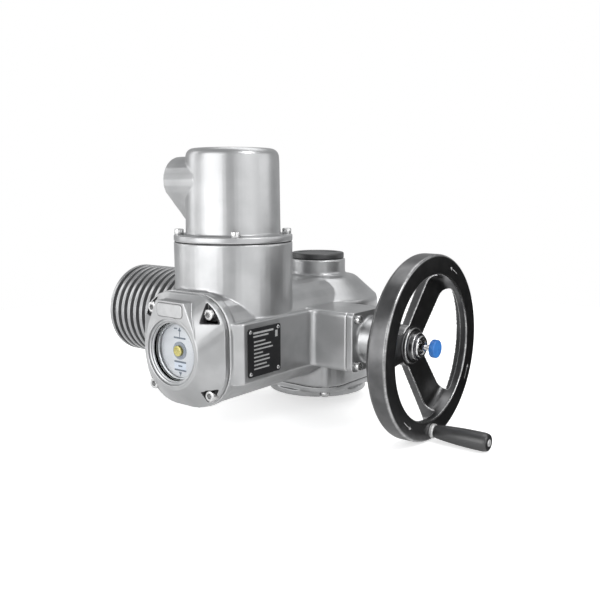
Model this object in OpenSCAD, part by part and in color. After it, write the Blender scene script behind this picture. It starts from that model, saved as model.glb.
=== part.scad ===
// Electric multi-turn actuator for a valve. Origin: centre of the valve flange's lower face.
// +Z runs up the valve stem, +X to the handwheel, -X to the motor, -Y to the position window.

/* [Valve flange] */
// Diameter of the round valve flange
flange_d = 125; // [122:0.5:130]
// Height of the round valve flange
flange_t = 7; // [6:0.5:9]
// Bolt circle of the valve flange
bolt_circle = 102; // [100:0.5:102]
// Bore of the tapped mounting holes
mount_hole_d = 8.5; // [6.8:0.1:9]
// Depth of the tapped mounting holes
mount_hole_depth = 12; // [10:0.5:12]
// Diameter of the centring recess in the valve flange
recess_d = 70; // [69:0.5:74]
// Depth of the centring recess
recess_depth = 3; // [2:0.25:4]
// Side of the square bearing plate above the valve flange
plate_w = 120; // [118:0.5:124]
// Thickness of the bearing plate
plate_t = 6.5; // [5:0.25:8]
// Corner radius of the bearing plate and of the casting's foot
plate_corner_r = 35; // [32:0.5:38]

/* [Gearing] */
// Height of the motor and handwheel axis above the valve flange
drive_z = 86.6; // [86:0.1:88]
// Teeth of the worm wheel, one turn of the worm for each tooth
wheel_teeth = 36; // [32:4:40]
// Pitch radius of the worm wheel
wheel_pitch_r = 50; // [49:0.5:51]
// Pitch radius of the worm
worm_pitch_r = 20; // [19.5:0.25:20.5]
// Half the depth of the worm's thread
thread_half_depth = 2.8; // [2.4:0.1:3]
// Face width of the worm wheel
wheel_face = 22; // [18:1:24]
// Outer diameter of the hollow drive sleeve
sleeve_d = 44; // [42:0.5:46]
// Bore of the hollow drive sleeve, which takes the valve stem
stem_bore_d = 28; // [24:0.5:32]
// Teeth of the crown gear that drives the position indicator
crown_teeth = 48; // [44:4:48]
// Teeth of the pinion on the indicator drive shaft
pinion_teeth = 12; // [12:4:12]
// Module of the crown gear and pinion
crown_module = 1.5; // [1.4:0.05:1.5]
// Diameter of the worm shaft
worm_shaft_d = 24; // [22:0.5:26]
// Bore of the casting for the worm
worm_bore_d = 52; // [51:0.5:54]

/* [Casting] */
// Outer diameter of the gear tower
tower_d = 154; // [152:0.5:158]
// Height where the tower's sloping roof starts
tower_shoulder_z = 120; // [118:0.5:121]
// Height where the tower's sloping roof ends
tower_roof_z = 143; // [142:0.5:145]
// Diameter of the stem tube on top of the tower
tube_d = 69.8; // [68:0.2:72]
// Height of the stem tube's rim
tube_z = 166; // [164:0.5:170]
// Wall of the cast housings
wall = 8; // [6:0.5:8.5]
// Width of the worm box on the handwheel side
box_w = 66.4; // [65:0.2:68]
// Distance of the worm box's end face from the stem axis
box_end_x = 115; // [112:0.5:118]
// Diameter of the motor boss
motor_boss_d = 118; // [116:0.5:118.5]
// Distance of the motor boss's end face from the stem axis
motor_face_x = 104; // [102:0.5:108]

/* [Switch compartment] */
// Width and height of the switch compartment
room_w = 120; // [118:0.5:122]
// Upper corner radius of the compartment
room_top_r = 40; // [36:0.5:42]
// Lower corner radius of the compartment
room_low_r = 48; // [44:0.5:50]
// Distance of the cover joint from the stem axis
joint_y = 230; // [228:0.5:236]
// Distance of the wall that carries the nameplate from the stem axis
pad_x = 68; // [67:0.25:69]
// Height of the nameplate wall
pad_h = 64; // [60:0.5:65]
// Depth of the compartment cover
cover_depth = 25; // [24:0.5:27]
// Depth of the cover's straight rim
cover_rim = 6; // [5:0.25:7]
// Diameter of the cover's flat face round the window
face_d = 79; // [77:0.5:82]
// Diameter of the window bore
window_d = 69.5; // [68:0.25:70.5]
// Spacing of the four cover screws
cover_screw_pitch = 84; // [83:0.25:85]
// Thickness of the seal between compartment and cover
cover_seal_t = 0.8; // [0.6:0.1:1.5]
// Diameter of the indicator disc
dial_d = 60; // [54:0.5:61]

/* [Plug connector] */
// Distance of the connector's axis from the stem axis
plug_y = 157.5; // [157:0.25:159]
// Diameter of the connector bowl and of the flange on it
bowl_d = 131; // [130:0.5:132]
// Height of the bowl's rim
bowl_z = 196.6; // [192:0.5:202]
// Thickness of the connector cover's flange
plug_flange_t = 7; // [6:0.5:9]
// Width of the flange outside the connector cover's wall
plug_step = 13.2; // [12.8:0.1:13.5]
// Height of the connector cover's top
plug_top_z = 298; // [294:0.5:302]
// Radius of the connector cover's upper edge
plug_edge_r = 9; // [7:0.5:10]
// Wall of the connector cover
plug_wall = 4.5; // [4:0.25:5]
// Distance of the cable boss's end face from the connector's axis
boss_x = 56; // [55:0.5:62]
// Half the spacing of the two upper cable entries
boss_half = 25.4; // [25:0.1:26]
// Radius of the cable boss round an upper entry
boss_up_r = 25.8; // [25:0.1:26]
// Depth of the lower cable entry below the upper two
boss_drop = 34; // [32:0.5:35]
// Radius of the cable boss round the lower entry
boss_low_r = 21; // [20:0.5:22]

/* [Motor] */
// Diameter over the motor's fins
motor_d = 120; // [119:0.5:122]
// Distance of the motor's far end from the stem axis
motor_end_x = 257.4; // [255:0.2:262]
// Spacing of the motor's fins
fin_pitch = 12; // [10:0.25:13]
// Thickness of a fin at its tip
fin_tip = 5.5; // [4:0.25:6]
// Diameter of the motor frame below the fins
motor_core_d = 101; // [99:0.5:101.5]
// Bore of the motor frame
motor_bore_d = 88; // [86:0.5:88.5]
// Diameter of the rotor
rotor_d = 63; // [60:0.5:64]

/* [Handwheel] */
// Diameter of the handwheel
wheel_d = 200; // [196:0.5:206]
// Distance of the handwheel's front face from the stem axis
wheel_face_x = 205.2; // [203:0.2:208]
// Inner diameter of the handwheel's rim
rim_inner_d = 157; // [154:0.5:159]
// Depth of the handwheel's rim
rim_depth = 20.7; // [19:0.1:22]
// Width of a spoke at the hub
spoke_w = 32; // [28:0.5:34]
// Diameter of the handwheel's hub
hub_d = 40; // [39:0.5:42]
// Diameter of the hollow handwheel shaft
hand_shaft_d = 24; // [23:0.25:24.5]
// Side of the square handwheel flange
hand_flange_w = 66.8; // [66:0.2:68]
// Thickness of the handwheel flange
hand_flange_t = 8.5; // [7.5:0.25:9.5]
// Spacing of the handwheel flange's screws
hand_screw_pitch = 51.6; // [51:0.1:52]
// Distance of the crank handle from the handwheel's axis
crank_r = 90; // [89:0.25:91]
// Length of the crank handle's grip
grip_len = 61.5; // [56:0.5:66]
// Largest diameter of the grip
grip_d = 20; // [18:0.5:22]
// Diameter of the declutching push button
button_d = 19.5; // [18:0.5:22]
// Travel of the push button
button_travel = 6; // [4:0.5:7]

/* [Fits] */
// Radial clearance of a running fit
run_gap = 0.05; // [0.03:0.01:0.08]
// Radial clearance between seated round pieces
seat_gap = 0.05; // [0.02:0.01:0.1]
// Clearance between faces that must not rub
face_gap = 0.3; // [0.3:0.05:0.5]

/* [Hidden] */
$fn = 96;
arc_steps = 8;

cast_grey = [0.72, 0.73, 0.74];
steel = [0.78, 0.78, 0.8];
dark_steel = [0.35, 0.35, 0.37];
black = [0.09, 0.09, 0.1];
rubber = [0.05, 0.05, 0.05];

worm_y = -(wheel_pitch_r + worm_pitch_r);
worm_lead = 2 * PI * wheel_pitch_r / wheel_teeth;
worm_turns = 6;
tooth_gap = 0.6;
wheel_tip_r = -worm_y - worm_pitch_r + thread_half_depth - tooth_gap;
wheel_root_r = -worm_y - worm_pitch_r - thread_half_depth - tooth_gap;
plate_top_z = flange_t + plate_t;
chamber_r = wheel_tip_r + 2.3;
chamber_shoulder_z = tower_shoulder_z + 5;
chamber_roof_z = tower_shoulder_z + 19;
upper_bearing_d = sleeve_d + 18;
tube_bore_d = tube_d - 12;
bearing_seat_z = tube_z - 17;
spigot_r = chamber_r - seat_gap;
spigot_top_z = plate_top_z + 10.5;
sleeve_z = spigot_top_z - 20;
lower_bearing_d = sleeve_d + 22;
crown_pitch_r = crown_teeth * crown_module / 2;
pinion_pitch_r = pinion_teeth * crown_module / 2;
crown_inner_r = crown_pitch_r - 3;
crown_outer_r = crown_pitch_r + 4;
wheel_top_z = drive_z + wheel_face / 2;
crown_root_z = wheel_top_z + 15.4;
pinion_z = crown_root_z + pinion_pitch_r + 2;
input_shaft_d = 8;

box_h = box_w;
hand_bore_d = worm_bore_d;
bearing_t = 13;
wheel_bearing_x = 60;
motor_bearing_x = 73;

room_top_z = drive_z + room_w / 2;
cover_y = -joint_y - cover_seal_t;
rim_y = cover_y - cover_rim;
cover_seat_y = cover_y - 4.2;
front_y = -joint_y - cover_depth;
room_back_y = worm_y - worm_bore_d / 2 - wall;
dial_y = front_y + 14;
nameplate_y = 44 - joint_y;
gearbox_y = 48 - joint_y;
unit_half = 30;

plug_floor_z = room_top_z + 5;
ledge_z = plug_floor_z + 12;
plug_bolt_circle = bowl_d - 12;
plug_d = bowl_d - 2 * plug_step;
socket_d = bowl_d - 57;
socket_top_z = ledge_z + 23;
pin_circle_r = socket_d / 2 - 6;
boss_z = plug_top_z - boss_up_r - 9.2;

head_m6 = 10;
head_m5 = 8.5;
flange_screw_r = plate_w / 2 + 4;
motor_screw_r = (motor_core_d + head_m5) / 2 + 0.3;
motor_shaft_d = 18;
rotor_x0 = 38 - motor_end_x;
rotor_x1 = -motor_face_x - 42;
fin_count = floor((motor_end_x - motor_face_x - 20) / fin_pitch);
motor_wall_x = -motor_face_x - 22;
end_screw_r = (motor_bore_d + motor_core_d) / 4;

web_hub_x = wheel_face_x - 27.7;
web_t = 9;
hub_front_x = wheel_face_x - 16;
hub_back_x = web_hub_x - 9.5;
shaft_end_x = hub_front_x + 2;
neck_end_x = hub_back_x - 3;
crank_z = drive_z - crank_r;
hand_shaft_x = box_end_x - 6;
grip_x = wheel_face_x + 4.3;
button_x = wheel_face_x + 4.3;
button_t = 6.5;

// Points along an arc from one angle to another
function arc(cx, cy, r, a0, a1, steps = arc_steps) =
    [for (i = [0:steps]) let (a = a0 + (a1 - a0) * i / steps) [cx + r * cos(a), cy + r * sin(a)]];

// Outline of a rectangle, with one radius on its upper corners and another on its lower ones
function round_box(w, h, top_r, low_r) = concat(
    arc(w / 2 - top_r, h / 2 - top_r, top_r, 0, 90),
    arc(-w / 2 + top_r, h / 2 - top_r, top_r, 90, 180),
    arc(-w / 2 + low_r, -h / 2 + low_r, low_r, 180, 270),
    arc(w / 2 - low_r, -h / 2 + low_r, low_r, 270, 360));

// Outline round two upper circles and a lower one, for the cable boss
function boss_outline(half, up_r, drop, low_r) =
    let (tilt = atan2(drop, half) - acos((up_r - low_r) / norm([half, drop])))
    concat(arc(half, 0, up_r, tilt, 90), arc(-half, 0, up_r, 90, 180 - tilt),
        arc(0, -drop, low_r, 180 - tilt, 360 + tilt));

module along_x(x0, x1) {
    translate([x0, 0, 0]) rotate([90, 0, 90]) linear_extrude(x1 - x0) children();
}

module along_y(y0, y1) {
    translate([0, y1, 0]) rotate([90, 0, 0]) linear_extrude(y1 - y0) children();
}

module rod_x(x0, x1, d) {
    translate([x0, 0, 0]) rotate([0, 90, 0]) cylinder(h = x1 - x0, d = d);
}

module rod_y(y0, y1, d) {
    translate([0, y1, 0]) rotate([90, 0, 0]) cylinder(h = y1 - y0, d = d);
}

// A profile of radius against X, turned about the X axis
module turn_x(points) {
    rotate([0, 90, 0]) rotate_extrude() polygon(points);
}

// A ring of square section along X
module ring_x(x0, x1, outer, inner) {
    difference() {
        rod_x(x0, x1, outer);
        rod_x(x0 - 1, x1 + 1, inner);
    }
}

// A ring of square section along Y
module ring_y(y0, y1, outer, inner) {
    difference() {
        rod_y(y0, y1, outer);
        rod_y(y0 - 1, y1 + 1, inner);
    }
}

// A ring of square section along Z
module ring_z(z0, z1, outer, inner) {
    translate([0, 0, z0]) difference() {
        cylinder(h = z1 - z0, d = outer);
        translate([0, 0, -1]) cylinder(h = z1 - z0 + 2, d = inner);
    }
}

// Places its children on the common axis of motor, worm and handwheel
module on_drive_axis() {
    translate([0, worm_y, drive_z]) children();
}

// Copies at the four corners of a square in the XZ plane
module four_xz(pitch) {
    for (sx = [-1, 1], sz = [-1, 1]) translate([sx * pitch / 2, 0, sz * pitch / 2]) children();
}

// Copies at the four corners of a square in the YZ plane
module four_yz(pitch) {
    for (sy = [-1, 1], sz = [-1, 1]) translate([0, sy * pitch / 2, sz * pitch / 2]) children();
}

// Socket-head cap screw that stands on the XY plane, with its shank below it
module cap_screw(d, head_d, shank) {
    difference() {
        union() {
            cylinder(h = d, d = head_d);
            translate([0, 0, -shank]) cylinder(h = shank + 0.5, d = d);
        }
        translate([0, 0, d / 2]) cylinder(h = d, d = d * 0.95, $fn = 6);
    }
}

// Foot of the casting, above the bearing plate
module casting_foot() {
    translate([0, 0, plate_top_z])
        linear_extrude(31) polygon(round_box(plate_w, plate_w, plate_corner_r, plate_corner_r));
    for (a = [45:90:315]) rotate([0, 0, a])
        translate([plate_w / 2 + 5, 0, plate_top_z]) cylinder(h = 33, d = 15);
}

// Gear tower with its sloping roof and the stem tube
module casting_tower() {
    r = tower_d / 2;
    rotate_extrude() polygon(concat(
        [[0, plate_top_z + 5], [56, plate_top_z + 5], [56, plate_top_z + 12], [r - 1, 49], [r, 54]],
        [[r - 0.6, tower_shoulder_z - 4], [r - 1.8, tower_shoulder_z]],
        [[51, tower_roof_z - 1], [47, tower_roof_z + 1.5]],
        arc(tube_d / 2 + 5, tower_roof_z + 7.5, 5, 270, 180, 4),
        [[tube_d / 2, tube_z - 0.8], [tube_d / 2 - 0.8, tube_z], [0, tube_z]]));
}

// Boxes round the worm: square to the handwheel, round to the motor
module casting_worm_boxes() {
    on_drive_axis() {
        along_x(0, box_end_x) polygon(round_box(box_w, box_h, 5, 5));
        rod_x(-motor_face_x, 0, motor_boss_d);
        turn_x([[0, -motor_face_x], [motor_boss_d / 2 + 1, -motor_face_x],
            [motor_boss_d / 2 + 1, 5 - motor_face_x],
            [motor_boss_d / 2 - 1, 10 - motor_face_x], [0, 10 - motor_face_x]]);
    }
}

// Switch compartment with its joint rim and the flat wall that carries the nameplate
module casting_compartment() {
    translate([0, 0, drive_z]) {
        along_y(-joint_y, -30) polygon(round_box(room_w, room_w, room_top_r, room_low_r));
        along_y(-joint_y, 9 - joint_y)
            polygon(round_box(room_w + 2.4, room_w + 2.4, room_top_r + 1.2, room_low_r + 1.2));
    }
    box_y = worm_y - box_w / 2;
    translate([0, 0, drive_z - pad_h / 2]) linear_extrude(pad_h)
        polygon([[30, 4 - joint_y], [room_w / 2 + 1, 4 - joint_y], [pad_x, 13 - joint_y],
            [pad_x, box_y - 4], [pad_x + 2.2, box_y - 1.2], [pad_x + 7.5, box_y + 0.4],
            [pad_x + 7.5, box_y + 20], [30, box_y + 20]]);
}

// Bowl of the plug connector, which grows out of the compartment's roof
module casting_bowl() {
    translate([0, -plug_y, 0]) rotate_extrude() polygon([
        [0, drive_z + 12], [bowl_d / 2 - 14, drive_z + 12], [bowl_d / 2 - 0.5, drive_z + 26],
        [bowl_d / 2, bowl_z - 0.6], [bowl_d / 2 - 0.6, bowl_z], [0, bowl_z]]);
}

// Room inside the gear tower, up through the stem tube
module gear_chamber() {
    rotate_extrude() polygon([
        [0, plate_top_z - 1], [chamber_r, plate_top_z - 1], [chamber_r, chamber_shoulder_z],
        [chamber_r - 10, chamber_roof_z], [upper_bearing_d / 2, chamber_roof_z],
        [upper_bearing_d / 2, bearing_seat_z], [tube_bore_d / 2, bearing_seat_z],
        [tube_bore_d / 2, tube_z + 1], [0, tube_z + 1]]);
}

// Room inside the switch compartment, which leaves bosses for the cover screws
module compartment_room() {
    difference() {
        translate([0, 0, drive_z]) along_y(-joint_y - 1, room_back_y)
            polygon(round_box(room_w - 2 * wall, room_w - 2 * wall, room_top_r - wall, room_low_r - wall));
        translate([0, 0, drive_z]) four_xz(cover_screw_pitch) rod_y(-joint_y - 2, 22 - joint_y, 16);
    }
    translate([0, -plug_y, room_top_z - wall - 4]) cylinder(h = 30, d = 64);
}

// Room inside the connector bowl, with the ledge for the socket carrier
module bowl_room() {
    translate([0, -plug_y, 0]) {
        translate([0, 0, plug_floor_z]) cylinder(h = 60, d = bowl_d - 28);
        difference() {
            translate([0, 0, ledge_z]) cylinder(h = 60, d = bowl_d - 2 * wall);
            for (a = [45:90:315]) rotate([0, 0, a])
                translate([plug_bolt_circle / 2, 0, ledge_z]) cylinder(h = 61, d = 13);
        }
    }
}

module main_housing() {
    color(cast_grey) difference() {
        union() {
            casting_foot();
            casting_tower();
            casting_worm_boxes();
            casting_compartment();
            casting_bowl();
        }
        gear_chamber();
        compartment_room();
        bowl_room();
        on_drive_axis() {
            rod_x(-motor_face_x - 1, box_end_x + 1, worm_bore_d);
            four_yz(hand_screw_pitch) rod_x(box_end_x - 17, box_end_x + 1, 6.2);
            for (a = [45:90:315]) rotate([a, 0, 0])
                translate([0, 0, motor_screw_r]) rod_x(-motor_face_x - 1, 15 - motor_face_x, 5.2);
        }
        translate([0, 0, drive_z]) four_xz(cover_screw_pitch) rod_y(-joint_y - 1, 18 - joint_y, 6.2);
        translate([0, 0, pinion_z]) rod_y(room_back_y - 5, -chamber_r + 12, input_shaft_d + 2 * run_gap);
        for (a = [45:90:315]) translate([0, -plug_y, bowl_z - 14]) rotate([0, 0, a])
            translate([plug_bolt_circle / 2, 0, 0]) cylinder(h = 20, d = 6.2);
        for (a = [45:90:315]) rotate([0, 0, a])
            translate([flange_screw_r, 0, plate_top_z - 1]) cylinder(h = 16, d = 6.2);
        nameplate_rivet_places() rod_x(-6, 1, 2.6);
    }
}

// Bearing plate, valve flange and spigot in one piece, with a notch for each corner screw
module bearing_flange() {
    notch_w = 12;
    color(cast_grey) difference() {
        union() {
            cylinder(h = flange_t, d = flange_d);
            translate([0, 0, flange_t]) linear_extrude(plate_t)
                polygon(round_box(plate_w, plate_w, plate_corner_r, plate_corner_r));
            translate([0, 0, plate_top_z - 0.5]) cylinder(h = spigot_top_z - plate_top_z + 0.5, r = spigot_r);
        }
        for (a = [45:90:315]) rotate([0, 0, a]) {
            translate([bolt_circle / 2, 0, -1]) cylinder(h = mount_hole_depth + 1, d = mount_hole_d);
            translate([flange_screw_r, 0, -1]) {
                cylinder(h = plate_top_z + 2, d = 6.2);
                linear_extrude(flange_t + 1) polygon(concat(arc(0, 0, notch_w / 2, 90, 270, 12),
                    [[12, -notch_w / 2], [12, notch_w / 2]]));
            }
        }
        translate([0, 0, -1]) cylinder(h = recess_depth + 1, d = recess_d);
        translate([0, 0, -1]) cylinder(h = spigot_top_z + 2, d = lower_bearing_d);
    }
}

module bearing_flange_screws() {
    color(steel) for (a = [45:90:315]) rotate([0, 0, a]) translate([flange_screw_r, 0, flange_t])
        mirror([0, 0, 1]) cap_screw(6, head_m6, 16);
}

module lower_bearing() {
    color(steel) ring_z(spigot_top_z - 15, spigot_top_z,
        lower_bearing_d - 2 * seat_gap, sleeve_d + 2 * run_gap);
}

module upper_bearing() {
    color(steel) ring_z(bearing_seat_z - 10, bearing_seat_z,
        upper_bearing_d - 2 * seat_gap, sleeve_d + 2 * run_gap);
}

module output_seal() {
    color(rubber) ring_z(spigot_top_z - 20, spigot_top_z - 15,
        lower_bearing_d - 2 * seat_gap, sleeve_d + 2 * run_gap);
}

// Screwed cap that closes the stem tube
module stem_cap() {
    cap_d = tube_d - 3.4;
    color(black) translate([0, 0, tube_z + 1]) rotate_extrude() polygon(concat(
        [[0, -3], [tube_bore_d / 2 - 5, -3], [tube_bore_d / 2 - 5, -9]],
        [[tube_bore_d / 2 - seat_gap, -9], [tube_bore_d / 2 - seat_gap, 0], [cap_d / 2, 0], [cap_d / 2, 4.4]],
        arc(cap_d / 2 - 2, 4.5, 2, 0, 90, 4),
        [[cap_d / 2 - 8, 6.5], [cap_d / 2 - 9, 5.5], [0, 5.5]]));
}

module stem_cap_seal() {
    color(rubber) ring_z(tube_z, tube_z + 1, tube_d - 5, tube_bore_d + 1);
}

// Hollow shaft with the shoulder that carries the worm wheel
module drive_sleeve() {
    shoulder_z = drive_z - wheel_face / 2;
    color(steel) rotate_extrude() polygon([
        [stem_bore_d / 2, sleeve_z], [sleeve_d / 2 - 0.6, sleeve_z], [sleeve_d / 2, sleeve_z + 0.6],
        [sleeve_d / 2, spigot_top_z + 2], [sleeve_d / 2 + 5, spigot_top_z + 2],
        [sleeve_d / 2 + 5, shoulder_z], [sleeve_d / 2, shoulder_z],
        [sleeve_d / 2, tube_z - 10], [stem_bore_d / 2, tube_z - 10]]);
}

// Bronze worm wheel with teeth that lean with the worm's lead
module worm_wheel() {
    lean = atan(worm_lead / (2 * PI * worm_pitch_r));
    bottom_z = drive_z - wheel_face / 2;
    color([0.72, 0.55, 0.25]) {
        difference() {
            translate([0, 0, bottom_z]) cylinder(h = wheel_face, r = wheel_root_r);
            translate([0, 0, bottom_z - 1]) cylinder(h = wheel_face + 2, d = sleeve_d + 2 * seat_gap);
        }
        for (i = [0:wheel_teeth - 1]) rotate([0, 0, -90 + i * 360 / wheel_teeth])
            translate([0, 0, drive_z]) rotate([-lean, 0, 0]) translate([0, 0, 0.3 - wheel_face / 2])
                linear_extrude(wheel_face - 0.6) polygon([[wheel_root_r - 0.6, -2.5], [wheel_root_r, -2.5],
                    [wheel_tip_r, -0.5], [wheel_tip_r, 0.5], [wheel_root_r, 2.5], [wheel_root_r - 0.6, 2.5]]);
    }
}

// Crown gear on the sleeve: radial teeth on its upper face
module crown_gear() {
    tip_z = crown_root_z + 3;
    color(steel) {
        difference() {
            union() {
                translate([0, 0, wheel_top_z]) cylinder(h = crown_root_z - wheel_top_z, r = sleeve_d / 2 + 5);
                translate([0, 0, crown_root_z - 6]) cylinder(h = 6, r = crown_outer_r);
            }
            translate([0, 0, wheel_top_z - 1])
                cylinder(h = crown_root_z - wheel_top_z + 2, d = sleeve_d + 2 * seat_gap);
        }
        for (i = [0:crown_teeth - 1]) rotate([0, 0, -90 + i * 360 / crown_teeth])
            along_x(crown_inner_r, crown_outer_r - 0.5) polygon([[-1, crown_root_z - 0.5],
                [1, crown_root_z - 0.5], [1, crown_root_z], [0.4, tip_z], [-0.4, tip_z], [-1, crown_root_z]]);
    }
}

// Shaft from the crown gear's pinion to the control unit
module indicator_drive_shaft() {
    tip_r = pinion_pitch_r + 1.3;
    root_r = pinion_pitch_r - 1.6;
    step = 360 / pinion_teeth;
    front = -crown_outer_r;
    color(steel) translate([0, 0, pinion_z]) {
        along_y(front, -crown_inner_r) polygon([for (i = [0:pinion_teeth - 1], k = [0:3])
            let (a = -90 + (i + 0.5) * step, r = (k == 0 || k == 3) ? root_r : tip_r,
                half = [1.3, 0.45, -0.45, -1.3][k] / r * 180 / PI)
            [r * cos(a - half), r * sin(a - half)]]);
        rod_y(gearbox_y + face_gap, front + 0.5, input_shaft_d);
    }
}

// Worm with its shaft; the thread is an off-centre round section that turns as it runs along
module worm_shaft() {
    thread_len = worm_turns * worm_lead;
    color(steel) on_drive_axis() {
        translate([-thread_len / 2, 0, 0]) rotate([90, 0, 90]) rotate([0, 0, 180])
            linear_extrude(thread_len, twist = -360 * worm_turns, slices = worm_turns * 16, $fn = 24)
            translate([thread_half_depth, 0]) circle(r = worm_pitch_r);
        rod_x(thread_len / 2 - 0.2, wheel_bearing_x - face_gap, worm_pitch_r * 1.7);
        rod_x(-motor_bearing_x + bearing_t + face_gap, 0.2 - thread_len / 2, worm_pitch_r * 1.7);
        rod_x(-motor_face_x + 2, hand_shaft_x - 15, worm_shaft_d);
    }
}

module worm_bearing_motor_side() {
    color(steel) on_drive_axis() ring_x(-motor_bearing_x, bearing_t - motor_bearing_x,
        worm_bore_d - 2 * seat_gap, worm_shaft_d + 2 * run_gap);
}

module worm_bearing_wheel_side() {
    color(steel) on_drive_axis() ring_x(wheel_bearing_x, wheel_bearing_x + bearing_t,
        worm_bore_d - 2 * seat_gap, worm_shaft_d + 2 * run_gap);
}

// Disc springs that let the worm shift along its axis with the torque
module disc_spring_pack() {
    x0 = wheel_bearing_x + bearing_t;
    color(dark_steel) on_drive_axis() turn_x(concat(
        [for (i = [0:8]) [i % 2 == 0 ? worm_bore_d / 2 - 4 : worm_bore_d / 2 - 2, x0 + i * 1.5]],
        [for (i = [8:-1:0]) [i % 2 == 0 ? worm_shaft_d / 2 + 2 : worm_shaft_d / 2 + 1, x0 + i * 1.5]]));
}

// Motor shaft, which starts as a coupling on the end of the worm shaft
module motor_shaft() {
    worm_end = -motor_face_x + 2;
    color(steel) on_drive_axis() turn_x([
        [worm_shaft_d / 2 + seat_gap, worm_end + 10], [worm_shaft_d / 2 + 6, worm_end + 10],
        [worm_shaft_d / 2 + 6, worm_end - 6], [motor_shaft_d / 2, worm_end - 8],
        [motor_shaft_d / 2, 6 - motor_end_x], [0, 6 - motor_end_x],
        [0, worm_end - 0.4], [worm_shaft_d / 2 + seat_gap, worm_end - 0.4]]);
}

module rotor() {
    color(dark_steel) on_drive_axis() ring_x(rotor_x0, rotor_x1, rotor_d, motor_shaft_d + 2 * seat_gap);
}

module motor_stator() {
    color(dark_steel) on_drive_axis() ring_x(rotor_x0, rotor_x1, motor_bore_d - 2 * seat_gap, rotor_d + 1.2);
}

// Winding heads at both ends of the stator
module motor_windings() {
    color([0.65, 0.35, 0.15]) on_drive_axis() {
        ring_x(rotor_x0 - 16, rotor_x0, motor_bore_d - 8, rotor_d + 6);
        ring_x(rotor_x1, rotor_x1 + 16, motor_bore_d - 8, rotor_d + 6);
    }
}

// Motor frame: a tube with cooling fins all round it, a fixing flange and a bearing wall
module motor_housing() {
    r = motor_d / 2;
    core_r = motor_core_d / 2;
    front = -motor_face_x;
    last = -motor_end_x + 5.5;
    color(cast_grey) on_drive_axis() difference() {
        turn_x(concat([[0, front], [r, front], [r, front - 7.4], [r - 0.6, front - 8], [core_r, front - 8]],
            [for (i = [fin_count:-1:1], p = [[0, fin_tip + 0.7], [1, fin_tip], [1, 0], [0, -0.7]])
                [core_r + p[0] * (r - core_r), i * fin_pitch - motor_end_x + p[1]]],
            [[core_r, last], [0, last]]));
        rod_x(last - 1, motor_wall_x, motor_bore_d);
        rod_x(motor_wall_x - 1, front + 1, 40);
        rod_x(motor_wall_x + 10, front + 1, worm_bore_d);
        for (a = [45:90:315]) rotate([a, 0, 0])
            translate([0, 0, motor_screw_r]) rod_x(front - 9, front + 1, 5.2);
        for (a = [45:90:315]) rotate([a, 0, 0])
            translate([0, 0, end_screw_r]) rod_x(last - 1, last + 12, 4.2);
    }
}

module motor_end_cap() {
    r = motor_d / 2;
    last = -motor_end_x + 5.5;
    spigot = motor_bore_d / 2 - seat_gap;
    color(cast_grey) on_drive_axis() difference() {
        turn_x([[0, 3 - motor_end_x], [r - 8, 3 - motor_end_x], [r - 6, -motor_end_x],
            [r - 0.6, -motor_end_x], [r, 0.6 - motor_end_x], [r, last], [spigot, last],
            [spigot, last + 4], [22, last + 4], [22, last + 14], [17, last + 14], [17, last], [0, last]]);
        for (a = [45:90:315]) rotate([a, 0, 0])
            translate([0, 0, end_screw_r]) rod_x(-motor_end_x, last + 1, 4.2);
    }
}

module motor_end_screws() {
    color(steel) on_drive_axis() for (a = [45:90:315]) rotate([a, 0, 0])
        translate([-motor_end_x + 3, 0, end_screw_r]) rotate([0, -90, 0]) cap_screw(4, 7, 12);
}

module motor_flange_screws() {
    color(steel) on_drive_axis() for (a = [45:90:315]) rotate([a, 0, 0])
        translate([-motor_face_x - 8, 0, motor_screw_r]) rotate([0, -90, 0]) cap_screw(5, head_m5, 18);
}

module motor_front_bearing() {
    color(steel) on_drive_axis() ring_x(motor_wall_x, motor_wall_x + 9.6,
        40 - 2 * seat_gap, motor_shaft_d + 2 * run_gap);
}

module motor_rear_bearing() {
    color(steel) on_drive_axis() ring_x(8 - motor_end_x, 18 - motor_end_x,
        34 - 2 * seat_gap, motor_shaft_d + 2 * run_gap);
}

// Square flange with the round neck that carries the handwheel shaft
module handwheel_flange() {
    x0 = box_end_x;
    x1 = box_end_x + hand_flange_t;
    spigot = hand_bore_d / 2 - seat_gap;
    color(cast_grey) on_drive_axis() difference() {
        union() {
            along_x(x0, x1) polygon(round_box(hand_flange_w, hand_flange_w, 5, 5));
            turn_x(concat([[0, x0 - 9], [spigot, x0 - 9], [spigot, x0 + 1], [29, x0 + 1]],
                [[29, x1]], arc(28.5, x1 + 3.5, 3.5, 270, 180, 4),
                [[21.2, neck_end_x - 1], [20.2, neck_end_x], [0, neck_end_x]]));
        }
        rod_x(x0 - 10, neck_end_x + 1, hand_shaft_d + 2 * run_gap);
        rod_x(neck_end_x - 6, neck_end_x + 1, 31);
        rod_x(x0 - 10, x0 - 3.5, 40);
        four_yz(hand_screw_pitch) rod_x(x0 - 1, x1 + 1, 6.2);
    }
}

module handwheel_flange_screws() {
    color(steel) on_drive_axis() four_yz(hand_screw_pitch)
        translate([box_end_x + hand_flange_t, 0, 0]) rotate([0, 90, 0]) cap_screw(6, head_m6, 22);
}

module handwheel_shaft_seal() {
    color(rubber) on_drive_axis() ring_x(neck_end_x - 6, neck_end_x - 0.5,
        31 - 2 * seat_gap, hand_shaft_d + 2 * run_gap);
}

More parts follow.
